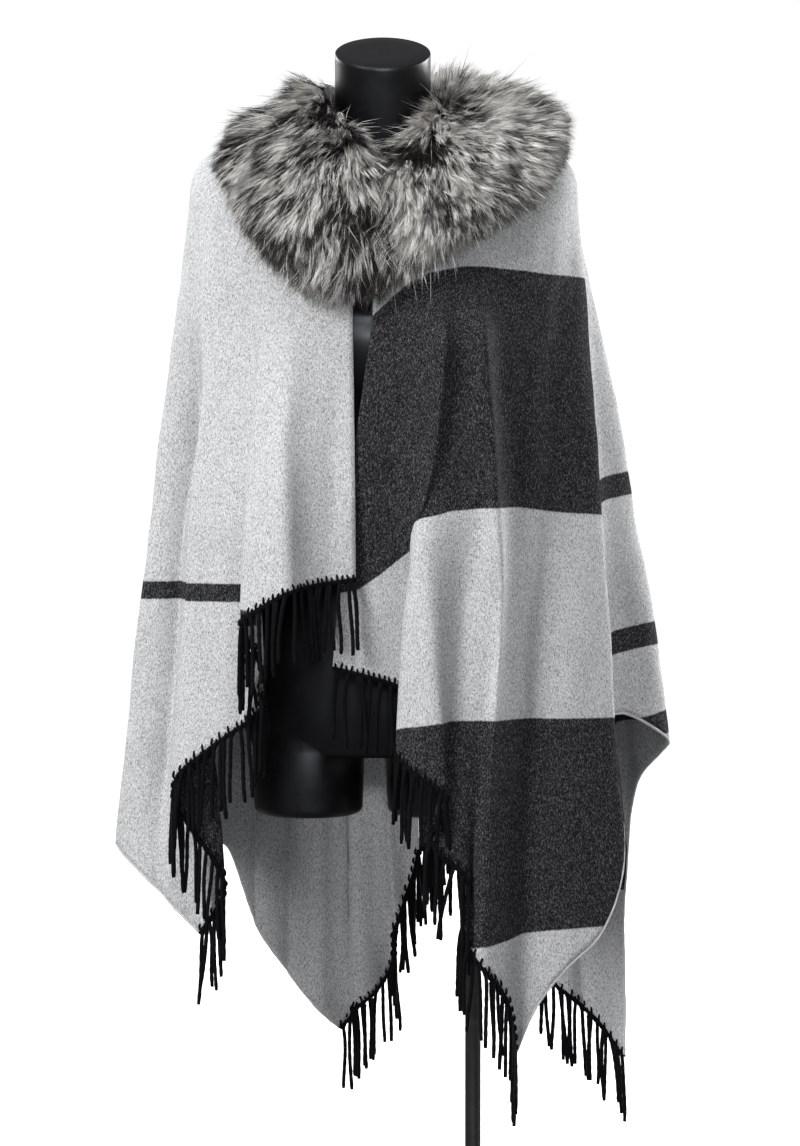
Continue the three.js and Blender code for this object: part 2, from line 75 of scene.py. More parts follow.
LEFT_FALLS = {
    "front_hem": [
        (-3, -55, -138, 713), (8, -19, -137, 704), (18, 17, -131, 692), (24, 44, -130, 676),
        (28, 34, -144, 653), (32, 16, -157, 626), (37, 34, -166, 601), (42, 53, -160, 578),
        (45, 58, -148, 546), (48, 66, -160, 514), (52, 84, -165, 483), (55, 86, -149, 452),
        (59, 109, -163, 390), (64, 133, -163, 345), (69, 147, -143, 284),
    ],
    "side_edge": [
        (69, 147, -143, 284), (73, 170, -150, 337), (77, 203, -143, 378), (80, 241, -128, 413),
        (84, 265, -112, 469), (87, 267, -96, 540), (90, 254, -80, 605), (93, 249, -62, 646),
        (96, 272, -46, 654), (101, 325, -4, 621), (107, 321, 31, 604), (113, 299, 60, 573),
        (120, 291, 96, 535), (130, 283, 104, 420), (138, 284, 120, 233),
    ],
    "back_hem": [
        (138, 284, 120, 233), (143, 255, 138, 270), (148, 219, 128, 301), (153, 188, 150, 330),
        (160, 149, 138, 400), (167, 113, 163, 457), (174, 77, 148, 485), (180, 43, 155, 474),
    ],
}
COLUMN_WIDTH = 6.5
YOKE_ROWS = 30
SKIRT_ROWS = 84
BRINK = {"rows": 16, "rounds": 14}  # how far the bend at the shoulders is rounded, and how often


def between(values, low, high):
    """0 on the side of low and 1 on that of high, with a straight ramp between them."""
    return np.clip((values - low) / (high - low), 0, 1)


def eased_step(share):
    return share * share * (3 - 2 * share)


def unit(vectors):
    return vectors / np.maximum(np.linalg.norm(vectors, axis=-1, keepdims=True), 1e-12)


def round_angles(count):
    return np.arange(count) / count * 2 * math.pi


def walked_along(path):
    """Length gone along a path at each of its points."""
    return np.concatenate([[0], np.cumsum(np.linalg.norm(np.diff(path, axis=0), axis=1))])


def bezier(controls, share):
    rest = 1 - share
    return (rest ** 3 * controls[0] + 3 * rest ** 2 * share * controls[1]
            + 3 * rest * share ** 2 * controls[2] + share ** 3 * controls[3])


def yoke_points(hand, turn, share):
    """Points of the yoke. hand is -1 on the wearer's right and 1 on the left."""
    turn, share = np.broadcast_arrays(np.asarray(turn, float), np.asarray(share, float))
    sine, cosine = np.sin(np.radians(turn)), np.cos(np.radians(turn))
    ahead = cosine > 0
    out = np.where(ahead, bezier(YOKE["front"]["out"], share), bezier(YOKE["back"]["out"], share))
    up = np.where(ahead, bezier(YOKE["front"]["up"], share), bezier(YOKE["back"]["up"], share))
    return np.stack([
        YOKE_MIDDLE + hand * sine * bezier(YOKE["side"]["out"], share),
        -cosine * out,
        sine ** 2 * bezier(YOKE["side"]["up"], share) + cosine ** 2 * up,
    ], axis=-1)


def yoke_normals(hand, turn, share):
    across = yoke_points(hand, turn + 1, share) - yoke_points(hand, turn - 1, share)
    down = yoke_points(hand, turn, share + 0.01) - yoke_points(hand, turn, share - 0.01)
    return unit(np.cross(across, down) * -hand)


def by_hand(function, hand, turn, share):
    """function for arrays that hold both hands."""
    return np.where((hand > 0)[..., None], function(1, turn, share), function(-1, turn, share))


def catmull_rom(points, span, share):
    """A point of the centripetal curve through points, which are rows x, y, z, ..."""
    p1, p2 = points[span], points[span + 1]
    p0 = points[span - 1] if span > 0 else 2 * p1 - p2
    p3 = points[span + 2] if span + 2 < len(points) else 2 * p2 - p1
    knots = [max(np.linalg.norm((b - a)[:3]) ** 0.5, 1e-4) for a, b in ((p0, p1), (p1, p2), (p2, p3))]
    k0, k1, k2 = knots
    start = ((p1 - p0) / k0 - (p2 - p0) / (k0 + k1) + (p2 - p1) / k1) * k1
    end = ((p2 - p1) / k1 - (p3 - p1) / (k1 + k2) + (p3 - p2) / k2) * k1
    return (p1 + start * share + (3 * (p2 - p1) - 2 * start - end) * share ** 2
            + (2 * (p1 - p2) + start + end) * share ** 3)


def edge_columns(rows):
    """Rows x, y, z, turn along an edge of a panel, a column apart."""
    points = np.array([(x, y, z, turn) for turn, x, y, z in rows], float)
    columns = []
    for span in range(len(points) - 1):
        length = np.linalg.norm((points[span + 1] - points[span])[:3])
        steps = max(2, round(length / COLUMN_WIDTH))
        columns += [catmull_rom(points, span, step / steps) for step in range(steps)]
    columns.append(points[-1])
    columns = np.array(columns)
    columns[:, 3] = np.maximum.accumulate(columns[:, 3])
    return columns


def panel_grid(hand, falls):
    """Outer points of a panel by column and row, the turn of each column and where its edges meet."""
    hem, side, back = (edge_columns(falls[key]) for key in ("front_hem", "side_edge", "back_hem"))
    columns = np.concatenate([hem, side[1:], back[1:]])
    turn = columns[:, 3]
    over = yoke_points(hand, turn[:, None], np.linspace(0, 1, YOKE_ROWS + 1)[None, :])
    share = np.linspace(0, 1, SKIRT_ROWS + 1)[1:][None, :, None]
    swing = share * (1 - HEM_FLARE * (1 - share))
    brink, end = over[:, -1:, :], columns[:, None, :3]
    free = brink + (end - brink) * np.concatenate([swing, swing, share], axis=-1)
    grid = np.concatenate([over, free], axis=1)
    corners = (len(hem) - 1, len(hem) + len(side) - 2)
    return grid, turn, corners


def soften_brink(grid):
    """Rounds the bend where the cloth leaves the shoulders."""
    from_brink = np.abs(np.arange(grid.shape[1]) - YOKE_ROWS)
    weight = np.clip(1 - from_brink / BRINK["rows"], 0, 1)[None, 1:-1, None]
    for _ in range(BRINK["rounds"]):
        mean = 0.25 * grid[:, :-2] + 0.5 * grid[:, 1:-1] + 0.25 * grid[:, 2:]
        grid[:, 1:-1] += (mean - grid[:, 1:-1]) * weight
    return grid


def grid_normals(grid, hand):
    across = np.gradient(grid, axis=0)
    down = np.gradient(grid, axis=1)
    return unit(np.cross(across, down) * -hand)


# Fur collar: round is degrees from the centre back, reach how far down the yoke the fur lies, then its
# depth at the neck edge, half way down and at its outer edge. The same stations as the solid's.
COLLAR_STATIONS = np.array([
    (-179.2, 0.95, 14, 20, 8), (-168, 1.0, 24, 38, 14), (-145, 0.97, 40, 46, 16), (-122, 0.86, 52, 38, 12),
    (-105, 0.7, 66, 29, 7), (-90, 0.62, 68, 26, 6), (-50, 0.62, 60, 38, 14), (0, 0.72, 56, 52, 18),
    (50, 0.7, 50, 62, 22), (78, 0.68, 50, 62, 18), (96, 0.69, 42, 57, 18), (118, 0.8, 36, 56, 22),
    (138, 0.84, 32, 50, 20), (152, 0.88, 28, 46, 18), (166, 0.95, 22, 38, 16), (179.2, 0.95, 14, 20, 8),
])
COLLAR_LEAN = 0.2


def collar_stations(round_):
    after = np.clip(np.searchsorted(COLLAR_STATIONS[:, 0], round_), 1, len(COLLAR_STATIONS) - 1)
    low, high = COLLAR_STATIONS[after - 1], COLLAR_STATIONS[after]
    share = eased_step(between(round_, low[..., 0], high[..., 0]))[..., None]
    return np.moveaxis((low + (high - low) * share)[..., 1:], -1, 0)


def collar_points(round_, share, depth=1.0, lift=0.0):
    """Points of the fur. share runs from the neck edge to the outer edge and depth from cloth to crest."""
    round_, share = np.broadcast_arrays(np.asarray(round_, float), np.asarray(share, float))
    hand = np.where(round_ < 0, -1.0, 1.0)
    turn = 180 - np.abs(round_)
    reach, neck, crest, brim = collar_stations(round_)
    swell = (8 * crest - neck - brim) / 6
    standing = np.minimum(1, 1.1 - np.cos(np.radians(turn)))
    edge = by_hand(yoke_points, hand, turn, 0 * share)
    upright = edge * (1, 1, 0)
    upright = -COLLAR_LEAN * unit(upright)
    upright[..., 2] = 1
    upright = unit(upright)
    normal = by_hand(yoke_normals, hand, turn, share * reach)
    weight = (standing * np.clip(1 - share, 0, 1) ** 1.5)[..., None]
    rise = unit(normal + (upright - normal) * weight)
    height = bezier((neck, swell, swell, brim), share) * depth + lift
    return by_hand(yoke_points, hand, turn, share * reach) + rise * height[..., None]


# Camera and light, in metres. Lamps: place, height of what they point at, size and power.
CAMERA = {"target": (0.0194, 0, 0.810), "distance": 4.2, "degrees_up": 3, "view": 1.306, "sensor_mm": 36}
LAMPS = {
    "key": ((-2.5, -2.6, 3.1), 0.95, (1.0, 1.0), 124),
    "fill": ((3.3, -2.2, 1.8), 0.85, (1.4, 1.4), 6),
    "low": ((-1.7, -3.4, 0.2), 0.5, (1.0, 0.7), 40),
    "top": ((-0.4, -0.6, 3.6), 1.0, (1.6, 1.2), 26),
    "gloss": ((0.1, -3.7, 2.3), 1.1, (0.8, 1.8), 240),
    "back_left": ((-2.6, 2.8, 2.4), 0.9, (1.6, 1.6), 110),
    "back_right": ((3.4, 2.0, 1.9), 0.9, (1.6, 1.6), 245),
}
GLOSS_COLOR = (0.86, 0.92, 1)
WORLD_COLOR = (0.97, 0.985, 1.0, 1)
WORLD_STRENGTH = 0.27


def add_camera():
    """The photograph's view: level with the hips, from 4.2 m away and a little above."""
    distance, above = CAMERA["distance"], math.radians(CAMERA["degrees_up"])
    target = Vector(CAMERA["target"])
    data = bpy.data.cameras.new("camera")
    data.sensor_width = CAMERA["sensor_mm"]
    data.lens = data.sensor_width * distance / math.cos(above) / CAMERA["view"]
    data.clip_end = 60
    camera = bpy.data.objects.new("camera", data)
    camera.location = target + Vector((0, -distance, distance * math.tan(above)))
    camera.rotation_euler = (target - camera.location).to_track_quat("-Z", "Y").to_euler()
    bpy.context.collection.objects.link(camera)
    bpy.context.scene.camera = camera


def add_lights():
    """Soft lamps. The low one lights without a reflection, and the gloss one is only a reflection."""
    lamps = {}
    for name, (place, aim, size, power) in LAMPS.items():
        data = bpy.data.lights.new(name, "AREA")
        data.shape = "RECTANGLE"
        data.size, data.size_y = size
        data.energy = power
        lamp = bpy.data.objects.new(name, data)
        lamp.location = place
        lamp.rotation_euler = (Vector((0, 0, aim)) - Vector(place)).to_track_quat("-Z", "Y").to_euler()
        bpy.context.collection.objects.link(lamp)
        lamps[name] = lamp
    lamps["low"].visible_glossy = False
    lamps["gloss"].visible_diffuse = False
    lamps["gloss"].data.color = GLOSS_COLOR


def set_world():
    scene = bpy.context.scene
    scene.view_settings.view_transform = "Standard"
    world = bpy.data.worlds.new("studio")
    world.use_nodes = True
    background = world.node_tree.nodes["Background"]
    background.inputs["Color"].default_value = WORLD_COLOR
    background.inputs["Strength"].default_value = WORLD_STRENGTH
    scene.world = world


# Materials
class Look:
    """A material in the making, with short names for the nodes that the materials share."""

    def __init__(self, name, roughness, sheen=0.0, sheen_roughness=0.5, specular=0.5):
        self.made = bpy.data.materials.new(name)
        self.made.use_nodes = True
        self.tree = self.made.node_tree
        self.inputs = self.tree.nodes["Principled BSDF"].inputs
        for key, value in (("Roughness", roughness), ("Sheen Weight", sheen),
                           ("Sheen Roughness", sheen_roughness), ("Specular IOR Level", specular)):
            self.inputs[key].default_value = value
        self.place = self.add("ShaderNodeTexCoord").outputs["Object"]

    def feed(self, socket, value):
        """Links a node's output to a socket, or gives the socket a number, vector or colour."""
        if isinstance(value, bpy.types.NodeSocket):
            self.tree.links.new(value, socket)
        elif socket.type == "RGBA":
            socket.default_value = (*value, 1)
        else:
            socket.default_value = value

    def add(self, kind, inputs=None, **settings):
        node = self.tree.nodes.new(kind)
        for key, value in settings.items():
            setattr(node, key, value)
        for key, value in (inputs or {}).items():
            self.feed(node.inputs[key], value)
        return node

    def attribute(self, name, output="Fac"):
        return self.add("ShaderNodeAttribute", attribute_name=name).outputs[output]

    def noise(self, scale, detail=2.0, rough=0.5, at=None):
        at = self.place if at is None else at
        inputs = {"Vector": at, "Scale": scale, "Detail": detail, "Roughness": rough}
        return self.add("ShaderNodeTexNoise", inputs).outputs[0]

    def slanted(self, degrees, scale):
        """The place turned about the cloth's depth and stretched."""
        inputs = {"Vector": self.place, "Rotation": (0, math.radians(degrees), 0), "Scale": scale}
        return self.add("ShaderNodeMapping", inputs).outputs[0]

    def ramp(self, value, *stops):
        node = self.add("ShaderNodeValToRGB", {"Fac": value})
        elements = node.color_ramp.elements
        while len(elements) < len(stops):
            elements.new(0.5)
        for element, (place, color) in zip(elements, stops):
            element.position = place
            element.color = (*color, 1)
        return node.outputs["Color"]

    def calc(self, operation, *values):
        node = self.add("ShaderNodeMath", operation=operation)
        for socket, value in zip(node.inputs, values):
            self.feed(socket, value)
        return node.outputs[0]

    def total(self, *parts):
        """The sum of values, each times its weight."""
        products = [self.calc("MULTIPLY", value, weight) for value, weight in parts]
        total = products[0]
        for product in products[1:]:
            total = self.calc("ADD", total, product)
        return total

    def mix(self, factor, first, second, blend="MIX"):
        node = self.add("ShaderNodeMix", data_type="RGBA", blend_type=blend)
        for place, value in ((0, factor), (6, first), (7, second)):
            self.feed(node.inputs[place], value)
        return node.outputs[2]

    def step(self, value, low, high):
        inputs = {"Value": value, "From Min": low, "From Max": high}
        return self.add("ShaderNodeMapRange", inputs, interpolation_type="SMOOTHSTEP").outputs["Result"]

    def finish(self, color, rough=None, height=None, strength=0.0, depth=0.0):
        """The material with its colour, roughness and relief. The relief's depth is in metres."""
        self.feed(self.inputs["Base Color"], color)
        if rough:
            self.feed(self.inputs["Roughness"], rough)
        if height:
            bump = self.add("ShaderNodeBump", {"Height": height, "Strength": strength, "Distance": depth})
            self.feed(self.inputs["Normal"], bump.outputs[0])
        return self.made


def grey(value, warm=0.0):
    return (value * (1 + warm), value, value * (1 - warm))


def wool_material():
    """Melange wool: light grey with charcoal bands, a fine diagonal weave and a brushed nap."""
    look = Look("wool_melange", 0.92, sheen=0.03, specular=0.05)
    fibres = look.noise(1.0, 3, 0.6, look.slanted(40, (950, 700, 320)))
    crossing = look.noise(1.0, 2, 0.6, look.slanted(-50, (1000, 700, 380)))
    flecks = look.noise(620, 3, 0.65)
    tone = look.total((fibres, 0.42), (crossing, 0.22), (flecks, 0.36))

    light = look.ramp(tone, (0.37, grey(0.18)), (0.44, grey(0.38)), (0.49, grey(0.58, -0.01)),
                      (0.55, grey(0.73, -0.01)), (0.63, grey(0.86, -0.01)))
    dark = look.ramp(tone, (0.40, (0.004, 0.004, 0.0045)), (0.47, (0.012, 0.012, 0.013)),
                     (0.515, (0.034, 0.035, 0.037)), (0.555, (0.078, 0.080, 0.086)),
                     (0.63, (0.20, 0.205, 0.215)))
    ragged = look.calc("MULTIPLY", look.calc("SUBTRACT", flecks, 0.5), 5.0)
    mask = look.step(look.calc("ADD", look.attribute("band"), ragged), -0.8, 0.8)
    clouds = look.ramp(look.noise(22, 3, 0.6), (0.3, grey(0.93)), (0.7, grey(1.0)))
    color = look.mix(1.0, look.mix(mask, light, dark), clouds, "MULTIPLY")
    pale_edge = look.calc("MULTIPLY", look.step(look.attribute("selvedge"), 2.6, 1.0), 0.75)
    color = look.mix(pale_edge, color, grey(0.78, 0.01))

    wave = {"Vector": look.attribute("cut", "Vector"), "Scale": 0.42, "Distortion": 1.2, "Detail": 1.5,
            "Detail Scale": 1.6}
    twill = look.add("ShaderNodeTexWave", wave, bands_direction="DIAGONAL").outputs["Fac"]
    rough = look.ramp(fibres, (0.3, grey(0.84)), (0.7, grey(0.98)))
    return look.finish(color, rough, look.total((tone, 1.2), (twill, 0.25)), 0.4, 0.0011)


def yarn_material(name, color, tip):
    """Spun wool yarn with stray fibres along its ply."""
    look = Look(name, 0.9, sheen=0.02, sheen_roughness=0.4, specular=0.04)
    fuzz = look.noise(900, 4, 0.7)
    rough = look.ramp(look.noise(240), (0.3, grey(0.78)), (0.7, grey(0.95)))
    return look.finish(look.ramp(fuzz, (0.35, color), (0.62, tip)), rough, fuzz, 0.55, 0.0008)


def hair_material():
    """Silver fox: dark root, pale middle and black tip, more or less of each from tuft to tuft."""
    look = Look("fox_hair", 0.45, specular=0.25)
    along, silver = look.attribute("along"), look.attribute("silver")
    reach = look.calc("ADD", along, look.calc("MULTIPLY", look.calc("SUBTRACT", silver, 0.7), 0.3))
    banded = look.ramp(reach, (0.03, (0.012, 0.010, 0.009)), (0.16, (0.08, 0.073, 0.067)),
                       (0.30, (0.80, 0.785, 0.76)), (0.72, (1.0, 0.99, 0.97)), (0.87, (0.66, 0.65, 0.63)),
                       (0.97, (0.045, 0.04, 0.038)))
    black = look.ramp(along, (0.0, (0.005, 0.004, 0.0035)), (0.6, (0.014, 0.0115, 0.010)),
                      (1.0, (0.045, 0.040, 0.036)))
    color = look.mix(look.step(silver, 0.42, 0.58), black, banded)
    tint = look.ramp(look.noise(60), (0.35, (0.86, 0.84, 0.82)), (0.65, (1, 1, 1)))
    rough = look.ramp(along, (0.0, grey(0.7)), (1.0, grey(0.38)))
    return look.finish(look.mix(1.0, color, tint, "MULTIPLY"), rough)


def underfur_material():
    """The dense grey-brown wool that the long hairs grow through."""
    look = Look("fox_underfur", 0.95, sheen=0.3, specular=0.1)
    streaks = look.noise(130, 5, 0.7)
    color = look.ramp(streaks, (0.38, (0.006, 0.005, 0.004)), (0.52, (0.02, 0.017, 0.015)),
                      (0.66, (0.07, 0.064, 0.058)))
    return look.finish(color, None, streaks, 0.9, 0.004)


def shell_material():
    """Matt black moulded shell with a fine orange peel."""
    look = Look("torso_shell", 0.42, specular=0.24)
    color = look.ramp(look.noise(9, 3), (0.3, (0.0012, 0.0013, 0.0017)), (0.7, (0.0020, 0.0022, 0.0028)))
    rough = look.ramp(look.noise(70, 4), (0.3, grey(0.36)), (0.7, grey(0.46)))
    return look.finish(color, rough, look.noise(650, 2), 0.12, 0.0004)


def steel_material():
    """Black powder coat, worn a little lighter in places."""
    look = Look("stand_powder_coat", 0.5)
    look.inputs["Metallic"].default_value = 0.25
    wear = look.noise(45, 5, 0.65)
    color = look.ramp(wear, (0.35, grey(0.006)), (0.6, grey(0.011)), (0.78, grey(0.03)))
    rough = look.ramp(wear, (0.3, grey(0.42)), (0.75, grey(0.60)))
    return look.finish(color, rough, look.noise(1400, 2), 0.25, 0.0003)


def backdrop_material():
    """White paper that glows evenly."""
    look = Look("studio_white", 0.95, specular=0.0)
    look.inputs["Emission Color"].default_value = (1, 1, 1, 1)
    look.inputs["Emission Strength"].default_value = 0.86
    return look.finish(look.ramp(look.noise(0.8), (0.3, grey(0.78)), (0.7, grey(0.80))))


# Meshes
ROUND_SIDES = 96  # of what is turned


def mesh_object(name, points, faces, material, slot=None, **attributes):
    """A smooth piece from points in millimetres and faces, with a value or vector for each point."""
    mesh = bpy.data.meshes.new(name)
    mesh.from_pydata((np.asarray(points) * MM).tolist(), [], faces)
    mesh.validate()
    mesh.polygons.foreach_set("use_smooth", [True] * len(mesh.polygons))
    for key, values in attributes.items():
        values = np.asarray(values, float)
        kind, field = ("FLOAT_VECTOR", "vector") if values.ndim == 2 else ("FLOAT", "value")
        mesh.attributes.new(key, kind, "POINT").data.foreach_set(field, values.ravel())
    mesh.materials.append(material)
    piece = bpy.data.objects.new(name, mesh)
    bpy.context.collection.objects.link(piece)
    if slot:
        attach(piece, "root")
    return piece


class Parts:
    """Points and faces of several forms that make one piece."""

    def __init__(self):
        self.points, self.faces, self.count = [], [], 0

    def add(self, points, faces):
        self.points.append(points)
        self.faces += [tuple(index + self.count for index in face) for face in faces]
        self.count += len(points)

    def make(self, name, material, slot):
        return mesh_object(name, np.concatenate(self.points), self.faces, material, slot)


def ring_faces(rings, sides):
    """Faces of a tube of rings with both ends closed."""
    faces = []
    for ring in range(rings - 1):
        here = ring * sides
        for side in range(sides):
            after = (side + 1) % sides
            faces.append((here + side, here + after, here + sides + after, here + sides + side))
    faces.append(tuple(range(sides - 1, -1, -1)))
    faces.append(tuple((rings - 1) * sides + side for side in range(sides)))
    return faces


def frames_along(path):
    """Two crossing directions at each point of a path, turning as little as they can."""
    tangent = unit(np.gradient(path, axis=0))
    first = np.cross(tangent[0], (0, 1, 0) if abs(tangent[0][1]) < 0.8 else (1, 0, 0))
    sides = []
    for way in tangent:
        first = unit(first - way * np.dot(first, way))
        sides.append(first)
    sides = np.array(sides)
    return sides, np.cross(tangent, sides)


def tube(path, radius, sides=8, plies=0, twist=0.0, groove=0.0):
    """Points and faces of a round yarn along a path, or of one of twisted plies."""
    path = np.asarray(path, float)
    right, up = frames_along(path)
    radius = np.broadcast_to(radius, len(path))
    angle = round_angles(sides)
    rings = []
    for place, side, over, size, gone in zip(path, right, up, radius, walked_along(path)):
        size = size * (1 + groove * np.cos(plies * angle - twist * gone))[:, None]
        rings.append(place + size * (np.cos(angle)[:, None] * side + np.sin(angle)[:, None] * over))
    return np.concatenate(rings), ring_faces(len(path), sides)


def round_rings(profile, x=0):
    """Level rings about an upright axis at x, from a profile of radius and height."""
    angle = round_angles(ROUND_SIDES)
    cosine, sine, level = np.cos(angle), np.sin(angle), np.ones(ROUND_SIDES)
    rings = [np.stack([x + radius * cosine, radius * sine, up * level], axis=1) for radius, up in profile]
    return np.array(rings)


# Folds that run down the cloth: height and x of the crest at a few places, how wide the cloth slopes to the
# wearer's right and left, height of the crest, under 0 for a trough, and how far below its top it is full.
RIGHT_FOLDS = [
    ([(1110, -97), (955, -105), (857, -102), (780, -100)], 40, 14, 29, 250),
    ([(1110, -212), (963, -226), (862, -238), (694, -246), (560, -256)], 24, 8, -40, 160),
    ([(1060, -160), (800, -168), (640, -172)], 24, 20, 5, 200),
    ([(1090, -52), (820, -56)], 16, 16, -5, 200),
]
LEFT_FOLDS = [
    ([(1190, 68), (1125, 64), (1019, 60), (809, 54), (721, 52), (560, 57), (430, 70)], 30, 13, 30, 110),
    ([(1190, 98), (1130, 102), (1019, 108), (809, 121), (721, 122), (545, 116), (420, 112)], 30, 16, 33, 120),
    ([(1110, 17), (860, 14)], 15, 15, -5, 200),
]
BACK_FOLDS = [
    ([(1100, -148), (480, -152)], 18, 10, 17, 240), ([(1120, -106), (330, -112)], 12, 18, 16, 240),
    ([(1100, -70), (360, -76)], 14, 16, -10, 240), ([(1080, -36), (340, -42)], 22, 11, 28, 240),
    ([(1120, 4), (440, 4)], 12, 24, 20, 240), ([(1100, 62), (420, 72)], 15, 14, -10, 240),
    ([(1120, 104), (400, 124)], 18, 26, 20, 240), ([(1100, 150), (340, 178)], 16, 14, -11, 240),
    ([(1080, 196), (300, 234)], 24, 16, 17, 240),
]
FOLD_ROUNDING = 3
WRINKLES = {"low": 3.4, "high": 1.0}
# Turns or heights between which folds or smoothing go from none to full.
FRONT_FADE = (98, 78)
BACK_FADE = (105, 125)
SEAM_FADE = (180, 175)
RIGHT_LOW = {"up": (440, 600), "least": 0.3}  # the right front's folds are weaker near its hem
LEFT_CORNER = {"up": (880, 820), "turn": (33, 28)}  # the left front's inner corner has none
BROAD_CALM = ((38, 46), (98, 88))  # the left front is smoothed between these turns
LAP_CALM = {"turns": ((12, 18), (48, 40)), "up": (850, 970)}  # and its lap between these, high up
CALM_ROUNDS = {"hem": 12, "left": 80, "normals": 30}

# Charcoal blocks: turns of the two ends, then rows of turn and the heights of the lower and upper edge. The
# right panel's lie where its hem folds back. The left panel's are in front first, then at the back.
ALL_TURNS = 1000  # past both ends of any panel
BLOCKS = {
    -1: [
        ((61, 71), [(61, 540, 572), (63, 520, 596), (66, 480, 622), (69, 440, 646), (72, 420, 660)]),
        ((42.5, 48.5), [(42, 700, 742), (45, 655, 722), (49, 630, 700)]),
    ],
    1: [
        ((-ALL_TURNS, 88), [
            (-3, 795, 1100), (3, 798, 1123), (10, 816, 1145), (18, 842, 1151), (24, 866, 1155),
            (31, 878, 1155), (36, 886, 1153), (46, 889, 1151), (58, 889, 1148), (75, 882, 1146),
            (90, 877, 1144),
        ]),
        ((-ALL_TURNS, 88), [
            (30, 640, 642), (34, 560, 648), (40, 480, 655), (50, 430, 656), (58, 409, 656), (66, 416, 656),
            (75, 421, 654), (90, 428, 653),
        ]),
        ((126, ALL_TURNS), [(124, 905, 1150), (140, 900, 1150), (160, 896, 1152), (180, 895, 1153)]),
        ((126, ALL_TURNS), [(124, 434, 660), (140, 432, 658), (160, 436, 655), (180, 440, 655)]),
    ],
}
# Narrow stripes: turns of the two ends, half the width, then rows of turn and height of the middle.
RIGHT_STRIPE = [(30, 764), (37, 768), (41, 768), (45, 780), (50, 794), (91, 791), (112, 789), (133, 782),
                (180, 766)]
STRIPES = {
    -1: [((-ALL_TURNS, 41), 10, RIGHT_STRIPE), ((49, ALL_TURNS), 10, RIGHT_STRIPE)],
    1: [
        ((88, 126), 13, [(84, 890), (88, 896), (99, 912), (112, 919), (130, 905)]),
        ((88, 126), 13, [(84, 712), (88, 717), (99, 741), (112, 750), (130, 738)]),
        ((88, 126), 13, [(96, 630), (98, 635), (100, 640), (112, 651), (130, 640)]),
    ],
}
MM_A_DEGREE = 4
SELVEDGE = {"radius": 1.55, "uneven": 0.12, "seed": 7}
SHELL_INSET = 0.1  # from each face of the cloth's thickness
SEAM_GAP = 0.25  # from each panel to the middle of the back


def band_depth(hand, turn, up):
    """How deep each point lies in a charcoal band, in millimetres, under 0 outside them all."""
    turn = np.broadcast_to(turn[:, None], up.shape)
    bands = []
    for ends, rows in BLOCKS[hand]:
        turns, lower, upper = np.transpose(rows)
        lower, upper = np.interp(turn, turns, lower), np.interp(turn, turns, upper)
        bands.append((ends, np.minimum(up - lower, upper - up)))
    for ends, half, rows in STRIPES[hand]:
        bands.append((ends, half - np.abs(up - np.interp(turn, *np.transpose(rows)))))
    from_ends = [np.minimum(turn - first, last - turn) * MM_A_DEGREE for (first, last), _ in bands]
    return np.max([np.minimum(depth, limit) for (_, depth), limit in zip(bands, from_ends)], axis=0)


def fold_heights(grid, facing, folds):
    """Height of the folds at each point. facing is 1 where the cloth has them and 0 where it doesn't."""
    x, up = grid[..., 0], grid[..., 2]
    height = np.zeros_like(x)
    for path, right_slope, left_slope, rise, full in folds:
        crest_up, crest_x = np.transpose(path[::-1])
        aside = x - np.interp(up, crest_up, crest_x)
        away = np.sqrt(aside ** 2 + FOLD_ROUNDING ** 2) - FOLD_ROUNDING
        top = path[0][0]
        growth = eased_step(between(up, top, top - full))
        height += rise * growth * np.exp(-away / np.where(aside < 0, right_slope, left_slope))
    return height * facing


def wrinkle_heights(grid):
    """Small uneven hollows all over the hanging cloth."""
    flat = grid.reshape(-1, 3)
    low = [noise.noise(Vector((p[0] * 0.021, p[1] * 0.021, p[2] * 0.0085))) for p in flat]
    high = [noise.noise(Vector((p[0] * 0.05 + 40, p[1] * 0.05, p[2] * 0.03))) for p in flat]
    return (np.array(low) * WRINKLES["low"] + np.array(high) * WRINKLES["high"]).reshape(grid.shape[:2])


def smooth_columns(values, weight, rounds):
    for _ in range(rounds):
        mean = 0.25 * values[:-2] + 0.5 * values[1:-1] + 0.25 * values[2:]
        values[1:-1] += (mean - values[1:-1]) * weight[1:-1]
    return values


def soften_folds(grid, turn, hand):
    """Eases the folds of the hem away towards the shoulders, and the left front's more than the others."""
    share = np.clip((np.arange(grid.shape[1]) - YOKE_ROWS) / SKIRT_ROWS, 0, 1)
    hanging = share > 0
    weight = ((1 - share) * hanging)[None, :, None] * np.ones((len(grid), 1, 1))
    grid = smooth_columns(grid, weight, CALM_ROUNDS["hem"])
    if hand > 0:
        broad = between(turn, *BROAD_CALM[0]) * between(turn, *BROAD_CALM[1])
        lap = between(turn, *LAP_CALM["turns"][0]) * between(turn, *LAP_CALM["turns"][1])
        above = between(grid[..., 2], *LAP_CALM["up"])
        weight = np.maximum(broad[:, None] * (1 - share ** 3), lap[:, None] * above) * hanging
        grid = smooth_columns(grid, weight[..., None], CALM_ROUNDS["left"])
    return grid


